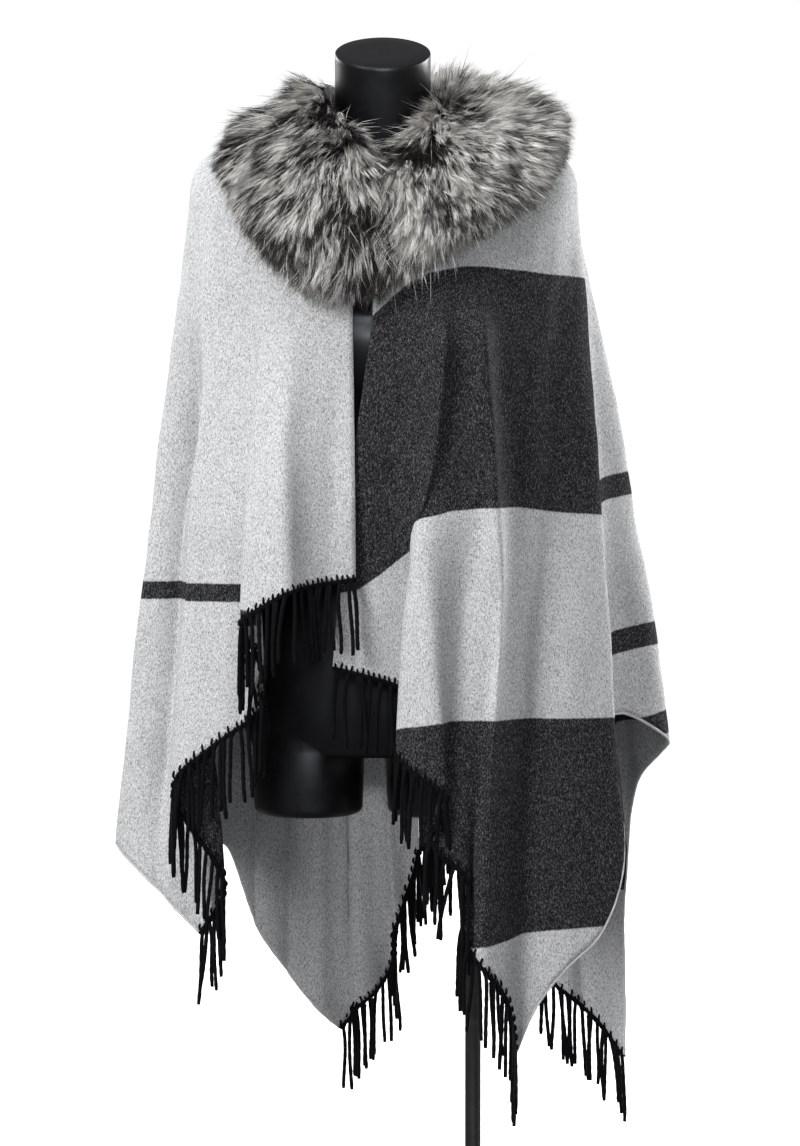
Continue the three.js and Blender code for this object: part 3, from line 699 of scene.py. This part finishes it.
def dressed_grid(hand, falls, folds):
    """A panel's points with its folds, their normals, the turn of each column and where its edges meet."""
    grid, turn, corners = panel_grid(hand, falls)
    grid = soften_folds(soften_brink(grid), turn, hand)
    grid[-1, :, 0] += hand * SEAM_GAP
    up = grid[..., 2]
    everywhere = np.ones((len(grid), 1, 1))
    flowing = unit(smooth_columns(grid_normals(grid, hand), everywhere, CALM_ROUNDS["normals"]))
    facing = between(turn, *FRONT_FADE)[:, None] * np.ones(grid.shape[1])
    if hand > 0:
        facing = facing * (1 - between(up, *LEFT_CORNER["up"]) * between(turn, *LEFT_CORNER["turn"])[:, None])
    else:
        facing = facing * np.maximum(between(up, *RIGHT_LOW["up"]), RIGHT_LOW["least"])
    height = fold_heights(grid, facing, folds)
    height += fold_heights(grid, between(turn, *BACK_FADE)[:, None], BACK_FOLDS)
    height += wrinkle_heights(grid)
    hanging = between(np.arange(grid.shape[1]), YOKE_ROWS * 0.8, YOKE_ROWS * 0.8 + BRINK["rows"])[None, :]
    seam = between(turn, *SEAM_FADE)[:, None]
    grid = grid + flowing * (height * hanging * seam)[..., None]
    return grid, grid_normals(grid, hand), turn, corners


def cut_coordinates(grid):
    """Millimetres across and along the cloth at each point, for the weave."""
    across = np.linalg.norm(np.diff(grid, axis=0, prepend=grid[:1]), axis=2).cumsum(axis=0)
    along = np.linalg.norm(np.diff(grid, axis=1, prepend=grid[:, :1]), axis=2).cumsum(axis=1)
    return np.stack([across, along, np.zeros_like(along)], axis=-1)


def sheet_faces(columns, rows):
    """Faces of a sheet's outer layer, of its inner layer and of the rim between them."""
    count = columns * rows
    index = np.arange(count).reshape(columns, rows)
    outer = np.stack([index[:-1, :-1], index[:-1, 1:], index[1:, 1:], index[1:, :-1]], axis=-1).reshape(-1, 4)
    inner = outer[:, ::-1] + count
    rim = np.concatenate([index[0, ::-1], index[1:, 0], index[-1, 1:], index[-2::-1, -1]])
    rim = np.stack([rim[:-1], rim[1:], rim[1:] + count, rim[:-1] + count], axis=-1)
    return np.concatenate([outer, inner, rim])


def add_panel(name, hand, falls, folds, material):
    """One panel, the two hems that its fringe hangs from and its side edge."""
    grid, normals, turn, (first, second) = dressed_grid(hand, falls, folds)
    columns, rows = grid.shape[:2]
    count = columns * rows
    faces = sheet_faces(columns, rows)
    if hand > 0:
        faces = faces[:, ::-1]
    layers = [grid - normals * depth for depth in (SHELL_INSET, CLOTH - SHELL_INSET)]
    points = np.concatenate([layer.reshape(-1, 3) for layer in layers])

    def both(values):
        return np.concatenate([values.reshape(count, -1)] * 2).squeeze()

    column = np.arange(columns)
    beside = np.minimum(np.abs(column - first), np.abs(column - second)) * COLUMN_WIDTH
    beside = np.where((column >= first) & (column <= second), 0, beside)
    below = np.linalg.norm(np.diff(grid, axis=1, append=grid[:, -1:]), axis=2)
    below = below[:, ::-1].cumsum(axis=1)[:, ::-1]
    piece = mesh_object(name, points, faces.tolist(), material, "wool", cut=both(cut_coordinates(grid)),
                        band=both(band_depth(hand, turn, grid[..., 2])),
                        selvedge=both(np.hypot(below, beside[:, None])))
    middle = grid - normals * (CLOTH / 2)
    fall = unit(grid[:, -1] - grid[:, -2])

    def hem(start, stop):
        cols = slice(start, stop + 1)
        return {"point": middle[cols, -1], "off": fall[cols], "out": normals[cols, -1]}

    hand_name = "left" if hand > 0 else "right"
    hems = {"front_" + hand_name: hem(0, first), "back_" + hand_name: hem(second, columns - 1)}
    return piece, hems, middle[first:second + 1, -1]


def add_selvedge(name, path, material):
    """The tight rolled edge of the cloth."""
    path = path + np.random.default_rng(SELVEDGE["seed"]).normal(0, SELVEDGE["uneven"], path.shape)
    return mesh_object(name, *tube(path, SELVEDGE["radius"]), material, "wool")


# Fringe
STRAND = {"pitch": 12.3, "length": 82, "splay": 0.10, "radius": 2.3, "pairs": 0.22, "apart": 3.4}
STRAND_STATIONS = 16
STITCH = {"reach": 5.6, "radius": 1.3}
CORD = {"radius": 2.6, "off": 0.8}
KNOT = {"half": (2.8, 3.0, 2.5), "off": 3.4, "lumps": 0.16, "sides": 9, "rings": 6}
YARN_SIDES = 6
FRINGE_SEED = 11


def hem_places(hem):
    """Even places along a hem, each with its point and directions."""
    gone = walked_along(hem["point"])
    count = round(gone[-1] / STRAND["pitch"])
    for number in range(count):
        at = (number + 0.5) / count * gone[-1]
        point, off, out = ([np.interp(at, gone, values[:, i]) for i in range(3)] for values in hem.values())
        yield number, np.array(point), unit(np.array(off)), unit(np.array(out))


def knot(point, off, out, draw):
    """A small lumpy knot, wider across the hem than it is deep."""
    across, along, deep = KNOT["half"]
    aside = np.cross(off, out)
    sides, rings = KNOT["sides"], KNOT["rings"]
    points = []
    for ring in range(rings):
        level = math.pi * (ring + 0.5) / rings
        for side in range(sides):
            angle = 2 * math.pi * side / sides
            lump = 1 + KNOT["lumps"] * math.sin(3 * angle + 2 * level + draw)
            spread = aside * across * math.cos(angle) + out * deep * math.sin(angle)
            points.append(point - off * along * math.cos(level) + spread * math.sin(level) * lump)
    return np.array(points), ring_faces(rings, sides)


def stitch_path(point, off, out, reach, lean, aside):
    """Yarn that goes through the cloth above the hem and round its edge."""
    half = CLOTH / 2
    rows = [(-reach, half - 0.8, lean), (-reach * 0.5, half + 1.4, lean * 0.5), (-0.5, half + 1.3, 0),
            (2.2, 0, 0),
            (-0.5, -half - 1.3, 0), (-reach * 0.5, -half - 1.4, lean * 0.5), (-reach, 0.8 - half, lean)]
    return np.array([point + off * down + out * over + aside * across for down, over, across in rows])


def strand_path(start, off, out, aside, length, rng):
    """A strand that sets off from the hem at its own slant, then bends down in an arc."""
    hang = unit(DOWN * (1 - STRAND["splay"]) + off * STRAND["splay"])
    slant = unit(off + aside * rng.normal(0, 0.2) + out * rng.normal(0.06, 0.08))
    lag, phase = rng.uniform(0.17, 0.36), rng.uniform(0, 2 * math.pi)
    sway, drift = rng.uniform(0.4, 2.0), rng.normal(0, 0.06)
    shares = np.linspace(0, 1, STRAND_STATIONS)
    points = [start]
    for share in shares[1:]:
        turned = 1 - math.exp(-share / lag)
        way = unit(slant * (1 - turned) + (hang + aside * drift) * turned)
        points.append(points[-1] + way * length / (STRAND_STATIONS - 1))
    shares = shares[:, None]
    return np.array(points) + aside * sway * shares * (np.sin(phase + shares * 5) - math.sin(phase))


def add_fringe(name, hem, seed, material):
    """Yarn tied through a hem: stitches that meet above its edge, a cord along it, knots and strands."""
    rng = np.random.default_rng(seed)
    parts = Parts()
    parts.add(*tube(hem["point"] + hem["off"] * CORD["off"], CORD["radius"]))
    for number, point, off, out in hem_places(hem):
        aside = unit(np.cross(off, out))
        for side in (-1, 1):
            reach = STITCH["reach"] + rng.uniform(-0.9, 1.2)
            foot = point + aside * side * rng.uniform(2.2, 3.4)
            path = stitch_path(foot, off, out, reach, side * rng.uniform(-0.6, 1.6), aside)
            parts.add(*tube(path, STITCH["radius"], YARN_SIDES))
        parts.add(*knot(point + off * KNOT["off"], off, out, number * 1.3))
        ends = 2 if rng.uniform() < STRAND["pairs"] else 1
        for end in range(ends):
            length = STRAND["length"] * (1 + 0.05 * math.sin(number * 2.4)) * rng.uniform(0.9, 1.02)
            beside = (end - (ends - 1) / 2) * STRAND["apart"]
            start = point + off * 3.6 + aside * beside + out * rng.uniform(-0.4, 0.8)
            path = strand_path(start, off, out, aside, length, rng)
            radius = np.full(len(path), STRAND["radius"] * rng.uniform(0.92, 1.05))
            radius[-1] *= 0.85
            parts.add(*tube(path, radius, YARN_SIDES, plies=2, twist=0.7, groove=0.09))
    return parts.make(name, material, "yarn")


# Fur. Where the fox is black instead of silver: round, share, reach in degrees and in share, and how black.
DARK_SPOTS = [
    (-122, 0.02, 10, 0.08, 0.7), (-141, 0.92, 7, 0.12, 1.0), (-134, 0.97, 6, 0.08, 0.8),
    (-145, 0.76, 6, 0.10, 0.7), (-169, 0.46, 7, 0.10, 0.8), (-171, 0.92, 6, 0.10, 0.8),
    (-178, 0.72, 3, 0.22, 0.7), (-155, 0.70, 5, 0.08, 0.4), (-116, 0.55, 6, 0.10, 0.35),
    (150, 0.14, 8, 0.11, 1.0), (128, 0.20, 6, 0.08, 0.6), (145, 0.62, 4, 0.10, 0.6),
    (142, 0.80, 4, 0.12, 0.7), (145, 0.95, 5, 0.12, 0.9), (176, 0.62, 4, 0.22, 0.5),
    (110, 0.35, 7, 0.08, 0.3), (145, 0.42, 4, 0.10, 0.5), (30, 0.30, 14, 0.16, 0.7),
    (-30, 0.65, 14, 0.16, 0.7), (-78, 0.35, 12, 0.2, 0.5), (72, 0.60, 12, 0.2, 0.5), (0, 0.95, 18, 0.12, 0.7),
]
# The way that the hair lies: round, lean to the front and pull of gravity.
FUR_FLOW = np.array([
    (-179, 0.05, 0.5), (-150, 0.0, 0.45), (-120, 0.05, 0.4), (-90, 0.0, 0.3), (0, 0.0, 0.3), (90, -0.05, 0.0),
    (110, -0.15, -0.1), (130, -0.25, 0.0), (147, -0.35, 0.2), (152, 0.25, 0.5), (179, 0.1, 0.5),
])
# How much of the collar's reach and of its depth the fur fills: round, reach, depth.
FUR_FILL = np.array([
    (-179, 0.97, 1), (-152, 0.97, 1), (-128, 0.86, 0.92), (-98, 0.72, 0.78), (-60, 0.88, 0.92), (0, 1, 1),
    (60, 0.94, 1), (88, 0.83, 1), (112, 0.86, 1), (132, 0.92, 1), (150, 0.86, 1), (168, 0.86, 1),
    (179, 0.95, 1),
])
CORE_DEPTH = 0.66
CORE_THINNING = 0.75
CORE_LUMPS = {"scale": 0.035, "height": 4}
FUR_ENDS = 179  # degrees from the centre back where both ends of the collar lie
FUR_LIMITS = (-205, 200)  # y of the furthest hair tips, front and back
HAIR_PIECES = {
    "right_front": (-179, -92, 58000), "right_back": (-92, 0, 30000),
    "left_back": (0, 92, 30000), "left_front": (92, 179, 58000),
}
HAIR_SEED = 21
HAIRS_A_LOCK = 12
HAIR_STATIONS = (0.0, 0.48, 1.0)
HAIR_WIDTH = (0.28, 0.56)
STRAYS = {"part": 0.06, "longer": 1.4, "thinner": 0.6, "wilder": 2.4}


def fur_fill(round_, column):
    return np.interp(round_, FUR_FILL[:, 0], FUR_FILL[:, column])


def fur_reach(round_):
    return fur_fill(round_, 1)


def fur_depth(round_, share):
    """Depth of the underfur, which thins out to the collar's outer edge."""
    return CORE_DEPTH * (1 - CORE_THINNING * np.clip((share - 0.6) / 0.4, 0, 1) ** 2) * fur_fill(round_, 2)


def add_core(name, material):
    """The dense underfur as one closed form on the cloth."""
    rounds = np.linspace(-FUR_ENDS, FUR_ENDS, 300)[:, None]
    shares = np.linspace(0, 0.93, 26)[None, :]
    back = shares[:, ::-1]
    filled = fur_reach(rounds)
    top = collar_points(rounds, back * filled, fur_depth(rounds, back))
    lumps = [noise.noise(Vector(p * CORE_LUMPS["scale"])) for p in top.reshape(-1, 3)]
    lumps = np.array(lumps).reshape(top.shape[:2]) * CORE_LUMPS["height"]
    out = unit(top - collar_points(rounds, back * filled, 0.0))
    top = top + (lumps * np.sin(np.pi * back))[..., None] * out
    under = collar_points(rounds, shares * filled, 0.0, 1.6)
    return closed_loft(name, np.concatenate([under, top], axis=1), material, "fur")


def dark_at(round_, share):
    dark = np.zeros_like(round_)
    for middle, across, reach, deep, black in DARK_SPOTS:
        away = ((round_ - middle) / reach) ** 2 + ((share - across) / deep) ** 2
        dark = np.maximum(dark, black * np.exp(-away))
    return dark


def fur_flow(round_, share):
    """Directions at a place of the fur: down along the skin, round the collar, and out of it."""
    root = collar_points(round_, share, CORE_DEPTH * 0.96)
    down = unit(collar_points(round_, share + 0.02) - collar_points(round_, share - 0.02))
    around = unit(collar_points(round_ + 0.5, share) - collar_points(round_ - 0.5, share))
    out = unit(np.cross(around, down))
    inwards = (out * unit(root - (YOKE_MIDDLE, 0, 1180))).sum(-1, keepdims=True) < 0
    return down, around, np.where(inwards, -out, out)


def hair_locks(first, last, count, rng):
    """Locks spread evenly over a stretch of the collar. A share under 0 is on its side to the neck."""
    tries = count * 6
    round_ = rng.uniform(first, last, tries)
    share = rng.uniform(-0.12, 0.84, tries)
    share = np.where(share > 0, share * fur_reach(round_), share)
    top, step = np.maximum(share, 0.0), 0.01
    along = np.linalg.norm(collar_points(round_ + 0.5, top) - collar_points(round_ - 0.5, top), axis=1)
    across = np.linalg.norm(collar_points(round_, top + step) - collar_points(round_, top - step), axis=1)
    area = along * across / (2 * step)
    kept = rng.uniform(0, 1, tries) < area / np.quantile(area, 0.98)
    return round_[kept][:count], share[kept][:count]


def skin_points(round_, share):
    """Where hair grows: on the underfur, and on its side to the neck for a share under 0."""
    depth = fur_depth(round_, share) * np.clip(1 + share / 0.13, 0.05, 0.92)
    return collar_points(round_, np.maximum(share, 0), depth)


def way_left(round_, share):
    """Millimetres from a place on the fur to its outer edge."""
    left = np.maximum(fur_reach(round_) - share, 0)
    steps = [collar_points(round_, share + left * part, CORE_DEPTH) for part in np.linspace(0, 1, 6)]
    return np.linalg.norm(np.diff(steps, axis=0), axis=2).sum(axis=0)


def lock_table(first, last, count, rng):
    """Place, root, directions, length, bend and tone of each lock."""
    round_, share = hair_locks(first, last, count, rng)
    count = len(round_)
    down, around, out = fur_flow(round_, np.maximum(share, 0))
    root = skin_points(round_, share)
    to_front = around * np.sign(round_)[:, None]
    lean, pull = (np.interp(round_, FUR_FLOW[:, 0], FUR_FLOW[:, i]) for i in (1, 2))
    swirl = np.array([noise.noise(Vector(p * 0.022)) for p in root])
    at_neck = np.clip(0.14 - share, 0, 0.22) / 0.22
    in_gap = at_neck * between(np.abs(round_), 85, 140)
    lift = np.radians(rng.normal(17, 10, count)) + 0.85 * at_neck
    forward = lean + 1.1 * swirl + rng.normal(0, 0.22, count)
    way = down + to_front * forward[:, None] + DOWN * pull[:, None]
    way = unit(way - out * (way * out).sum(1, keepdims=True))
    way = way * np.cos(lift)[:, None] + out * np.sin(lift)[:, None]
    way = unit(way + (to_front * 1.2 - down * 0.9) * in_gap[:, None])
    length = np.minimum(rng.uniform(38, 60, count), np.maximum(way_left(round_, share) + 3, 14))
    length *= 1 - 0.1 * in_gap

    dark = dark_at(round_, share)
    patch = np.array([noise.noise(Vector(p * 0.05 + 3)) for p in root])
    pale = rng.uniform(0, 1, count) < 0.71 + 0.10 * np.sign(round_) + 1.0 * patch - 0.55 * dark
    silver = np.where(pale, rng.normal(0.82, 0.10, count), rng.normal(0.28, 0.10, count))
    bend = DOWN * 0.16 + rng.normal(0, 0.07, (count, 3))
    return {"round": round_, "share": share, "root": root, "way": way, "out": out, "length": length,
            "pull": pull, "bend": bend, "silver": np.clip(silver - 0.75 * dark, 0, 1)}


def held_back(paths):
    """Hairs that would reach past the limits are drawn in towards their roots."""
    tip, root = paths[:, -1, 1], paths[:, 0, 1]
    too_far = np.maximum(FUR_LIMITS[0] - tip, tip - FUR_LIMITS[1])
    cut = np.clip(too_far / np.maximum(np.abs(tip - root), 1), 0, 0.6)
    return paths + (paths[:, :1] - paths) * cut[:, None, None]


def add_hair(name, first, last, hairs, seed, material):
    """Hairs that grow in locks and lean together at their tips, as ribbons that end in a point."""
    rng = np.random.default_rng(seed)
    lock = lock_table(first, last, hairs // HAIRS_A_LOCK, rng)
    own = np.repeat(np.arange(len(lock["root"])), HAIRS_A_LOCK)
    count = len(own)
    round_ = np.clip(lock["round"][own] + rng.normal(0, 0.8, count), -FUR_ENDS, FUR_ENDS)
    share = np.clip(lock["share"][own] + rng.normal(0, 0.014, count), -0.12, 0.86)
    start = skin_points(round_, share)
    stray = rng.uniform(0, 1, count) < STRAYS["part"]
    wild = np.where(stray, STRAYS["wilder"], 1.0)[:, None]
    way = unit(lock["way"][own] + rng.normal(0, 0.10, (count, 3)) * wild)
    size = lock["length"][own] * rng.uniform(0.6, 1.08, count) * np.where(stray, STRAYS["longer"], 1.0)
    bend = DOWN * rng.uniform(0.05, 0.3, count)[:, None] * (0.4 + lock["pull"][own, None])
    bend = bend + rng.normal(0, 0.06, (count, 3))
    clump = np.where(stray, 0.0, rng.uniform(0.6, 1.0, count))

    paths = []
    for station in HAIR_STATIONS:
        spine = lock["root"] + (lock["way"] * station + lock["bend"] * station ** 2) * lock["length"][:, None]
        place = start + (way * station + bend * station ** 2) * size[:, None]
        paths.append(place + (spine[own] - place) * (clump * station ** 1.2)[:, None])
    paths = held_back(np.stack(paths, axis=1))

    flat = lock["out"][own] + rng.normal(0, 0.35, (count, 3))
    width = rng.uniform(*HAIR_WIDTH, count) * np.where(stray, STRAYS["thinner"], 1.0)
    points, tangent = [], unit(np.gradient(paths, axis=1))
    for station, taper in ((0, 1.0), (1, 0.9)):
        aside = unit(np.cross(tangent[:, station], flat)) * (width * taper)[:, None]
        points += [paths[:, station] - aside, paths[:, station] + aside]
    points = np.stack([*points, paths[:, 2]], axis=1).reshape(-1, 3)
    offset = (np.arange(count) * 5)[:, None]
    faces = (offset + np.array((0, 1, 3, 2))).tolist() + (offset + np.array((2, 3, 4))).tolist()
    along = np.tile(np.repeat(HAIR_STATIONS, (2, 2, 1)), count)
    shade = np.clip(lock["silver"][own] + rng.normal(0, 0.10, count), 0, 1)
    return mesh_object(name, points, faces, material, "fur", along=along, silver=np.repeat(shade, 5))


# Torso and stand
TORSO_LEVELS = [
    {"side": 136, "front": 76, "back": 80, "up": 606, "shift": -9},
    {"side": 150, "front": 86, "back": 96, "up": 634, "shift": -9},
    {"side": 162, "front": 93, "back": 108, "up": 700, "shift": -8},
    {"side": 157, "front": 90, "back": 103, "up": 760, "shift": -6},
    {"side": 137, "front": 84, "back": 90, "up": 830, "shift": -4},
    {"side": 116, "front": 78, "back": 78, "up": 910, "shift": -2},
    {"side": 121, "front": 84, "back": 80, "up": 975, "shift": 0},
    {"side": 134, "front": 107, "back": 88, "up": 1035, "shift": 0},
    {"side": 148, "front": 114, "back": 98, "up": 1075, "side_up": 1100, "back_up": 1105, "shift": 0},
    {"side": 176, "front": 108, "back": 112, "up": 1103, "side_up": 1185, "back_up": 1150, "shift": 0},
]
TORSO_SIDES = 96
UNDER_CLOTH = 4.6  # from the cloth's outer face to the shoulders of the torso
NECK = {"half_width": 54, "half_depth": 56, "foot": (0, 4, 1296), "narrower": 8, "dip": 22,
        "cap": (0, -22, 1396), "tilt": 23,
        "rim": [(0.0, 0.0), (0.25, 0.9), (0.9, 1.7), (2.0, 2.1), (20, 2.3), (42, 2.4)]}
STUMP = {"half_width": 62, "half_depth": 70, "spread": 76, "shift": -9, "bottom": 536, "round": 9,
         "sides": [(-1, 575), (-2, 610), (2, 632), (10, 650)]}
POLE = {"x": 103, "radius": 9, "flange_radius": 17, "flange_height": 7}
FOOT = {"radius": 190, "thickness": 6, "boss": 22, "boss_height": 16}
BACKDROP = {"near": 1800, "far": 15000, "height": 14000, "bend": 3000, "below": 0.6}


def torso_ring(level):
    angle = round_angles(TORSO_SIDES)
    sine, cosine = np.sin(angle), np.cos(angle)
    end_up = np.where(cosine > 0, level["up"], level.get("back_up", level["up"]))
    depth = np.where(cosine > 0, level["front"], level["back"])
    return np.stack([
        level["shift"] + level["side"] * sine,
        -cosine * depth,
        sine ** 2 * level.get("side_up", level["up"]) + cosine ** 2 * end_up,
    ], axis=1)


def under_yoke_ring(share):
    degrees = np.arange(TORSO_SIDES) / TORSO_SIDES * 360
    hand = np.where(degrees < 180, 1.0, -1.0)
    turn = np.where(degrees < 180, degrees, 360 - degrees)
    return by_hand(yoke_points, hand, turn, share) - by_hand(yoke_normals, hand, turn, share) * UNDER_CLOTH


def neck_ring(share, inset=0.0, over=0.0):
    angle = round_angles(TORSO_SIDES)
    tilt = math.radians(NECK["tilt"]) * share
    foot, cap = np.array(NECK["foot"], float), np.array(NECK["cap"], float)
    centre = foot + (cap - foot) * share
    forward = np.cos(angle) * (NECK["half_depth"] - NECK["narrower"] * (1 - share) - inset)
    return np.stack([
        centre[0] + np.sin(angle) * (NECK["half_width"] - inset),
        centre[1] - forward * math.cos(tilt),
        centre[2] - forward * math.sin(tilt) - np.cos(angle) * NECK["dip"] * (1 - share) + over,
    ], axis=1)


def smooth_rings(rings, steps):
    """More rings on smooth curves through those given."""
    rings = np.array(rings)
    made = []
    for span in range(len(rings) - 1):
        for step in range(steps):
            made.append([catmull_rom(rings[:, side], span, step / steps) for side in range(rings.shape[1])])
    made.append(rings[-1])
    return np.array(made)


def closed_loft(name, rings, material, slot=None):
    rings = np.asarray(rings)
    faces = ring_faces(rings.shape[0], rings.shape[1])
    return mesh_object(name, rings.reshape(-1, 3), faces, material, slot)


def fuse(piece, others):
    """Joins closed forms into one."""
    bpy.context.view_layer.objects.active = piece
    for other in others:
        joiner = piece.modifiers.new("join", "BOOLEAN")
        joiner.operation = "UNION"
        joiner.object = other
        bpy.ops.object.modifier_apply(modifier=joiner.name)
        bpy.data.objects.remove(other)
    piece.data.polygons.foreach_set("use_smooth", [True] * len(piece.data.polygons))


def stump_rings(hand):
    """Rings of a cut thigh from its underside up, with a rounded edge."""
    rounding, bottom = STUMP["round"], STUMP["bottom"]
    bevel = [(rounding * (1 - math.sin(angle)), bottom + rounding * (1 - math.cos(angle)))
             for angle in np.linspace(0, math.pi / 2, 6)]
    rings = []
    for inset, up in ((30, bottom), *bevel, *STUMP["sides"]):
        half_depth = STUMP["half_depth"] - inset
        rings.append(torso_ring({"side": STUMP["half_width"] - inset, "front": half_depth, "back": half_depth,
                                 "up": up, "shift": STUMP["shift"] + hand * STUMP["spread"]}))
    return rings


def add_torso(material):
    """Trunk, shoulders and neck as one loft with its cap, and the two thighs joined to it."""
    shares = [row / 9 for row in range(8, 0, -1)]
    trunk = smooth_rings([*map(torso_ring, TORSO_LEVELS), *map(under_yoke_ring, shares), neck_ring(0.1)], 4)
    neck = [neck_ring(share) for share in (0.18, 0.3, 0.45, 0.6, 0.75, 0.88, 0.97)]
    cap = [neck_ring(1.0, inset, over) for inset, over in NECK["rim"]]
    torso = closed_loft("torso", [*trunk, *neck, *cap], material, "form_shell")
    fuse(torso, [closed_loft(f"stump_{hand}", stump_rings(hand), material) for hand in (-1, 1)])
    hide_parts("torso_form")


def turned(name, profile, x, material, node):
    """A turned steel part from its profile of radius and height."""
    piece = closed_loft(name, round_rings(profile, x), material, "stand_steel")
    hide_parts(node)
    return piece


def eased(corners, radius, steps=4):
    """A profile with its inner corners rounded."""
    made = [corners[0]]
    for before, here, after in zip(corners, corners[1:], corners[2:]):
        before, here, after = (np.array(p, float) for p in (before, here, after))
        cut = min(radius, 0.45 * np.linalg.norm(here - before), 0.45 * np.linalg.norm(after - here))
        start, end = here + unit(before - here) * cut, here + unit(after - here) * cut
        for step in range(steps + 1):
            s = step / steps
            made.append(tuple((1 - s) ** 2 * start + 2 * s * (1 - s) * here + s * s * end))
    return [*made, corners[-1]]


def add_stand(material):
    top, bottom = STUMP["bottom"] - 0.3, FOOT["thickness"] + 0.3
    turned("pole", eased([
        (2, bottom), (FOOT["boss"], bottom), (FOOT["boss"], bottom + FOOT["boss_height"] * 0.4),
        (POLE["radius"], bottom + FOOT["boss_height"]), (POLE["radius"], top - POLE["flange_height"] - 4),
        (POLE["flange_radius"], top - POLE["flange_height"]), (POLE["flange_radius"], top), (2, top),
    ], 1.2), POLE["x"], material, "stand_pole")
    turned("foot", eased([
        (8, 0), (FOOT["radius"], 0), (FOOT["radius"], FOOT["thickness"]), (8, FOOT["thickness"]),
    ], 1.6), 0, material, "stand_foot")


def add_backdrop(material):
    """A floor that curves up into a wall all round, well away from the garment."""
    near, far, height, bend, below = BACKDROP.values()
    profile = [(0.1, -below), (near, -below), (far - bend, -below)]
    for angle in np.linspace(0.1, math.pi / 2, 14):
        profile.append((far - bend + bend * math.sin(angle), bend - bend * math.cos(angle)))
    profile.append((far, height))
    rings = round_rings(profile)
    faces = [face for face in ring_faces(len(rings), ROUND_SIDES) if len(face) == 4]
    faces.append(tuple(range(ROUND_SIDES)))
    piece = mesh_object("backdrop", np.concatenate(rings), faces, material)
    piece.visible_diffuse = False
    piece.visible_glossy = False


add_camera()
wool = wool_material()
edge_wool = yarn_material("selvedge_wool", grey(0.55), grey(0.80))
yarn = yarn_material("black_yarn", (0.0015, 0.0015, 0.0018), (0.008, 0.008, 0.0095))

right, right_hems, right_side = add_panel("right_panel", -1, RIGHT_FALLS, RIGHT_FOLDS, wool)
left, left_hems, left_side = add_panel("left_panel", 1, LEFT_FALLS, LEFT_FOLDS, wool)
right_selvedge = add_selvedge("right_selvedge", right_side, edge_wool)
left_selvedge = add_selvedge("left_selvedge", left_side, edge_wool)
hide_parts("cape_right_panel")
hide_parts("cape_left_panel")

for seed, (node, hem) in enumerate({**right_hems, **left_hems}.items(), FRINGE_SEED):
    add_fringe("yarn_fringe_" + node, hem, seed, yarn)
    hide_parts("fringe_" + node)

core = add_core("underfur", underfur_material())
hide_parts("fur_collar")
fox = hair_material()
for seed, (place, (first, last, hairs)) in enumerate(HAIR_PIECES.items(), HAIR_SEED):
    add_hair("hair_" + place, first, last, hairs, seed, fox)

add_torso(shell_material())
add_stand(steel_material())
add_backdrop(backdrop_material())

set_world()
add_lights()
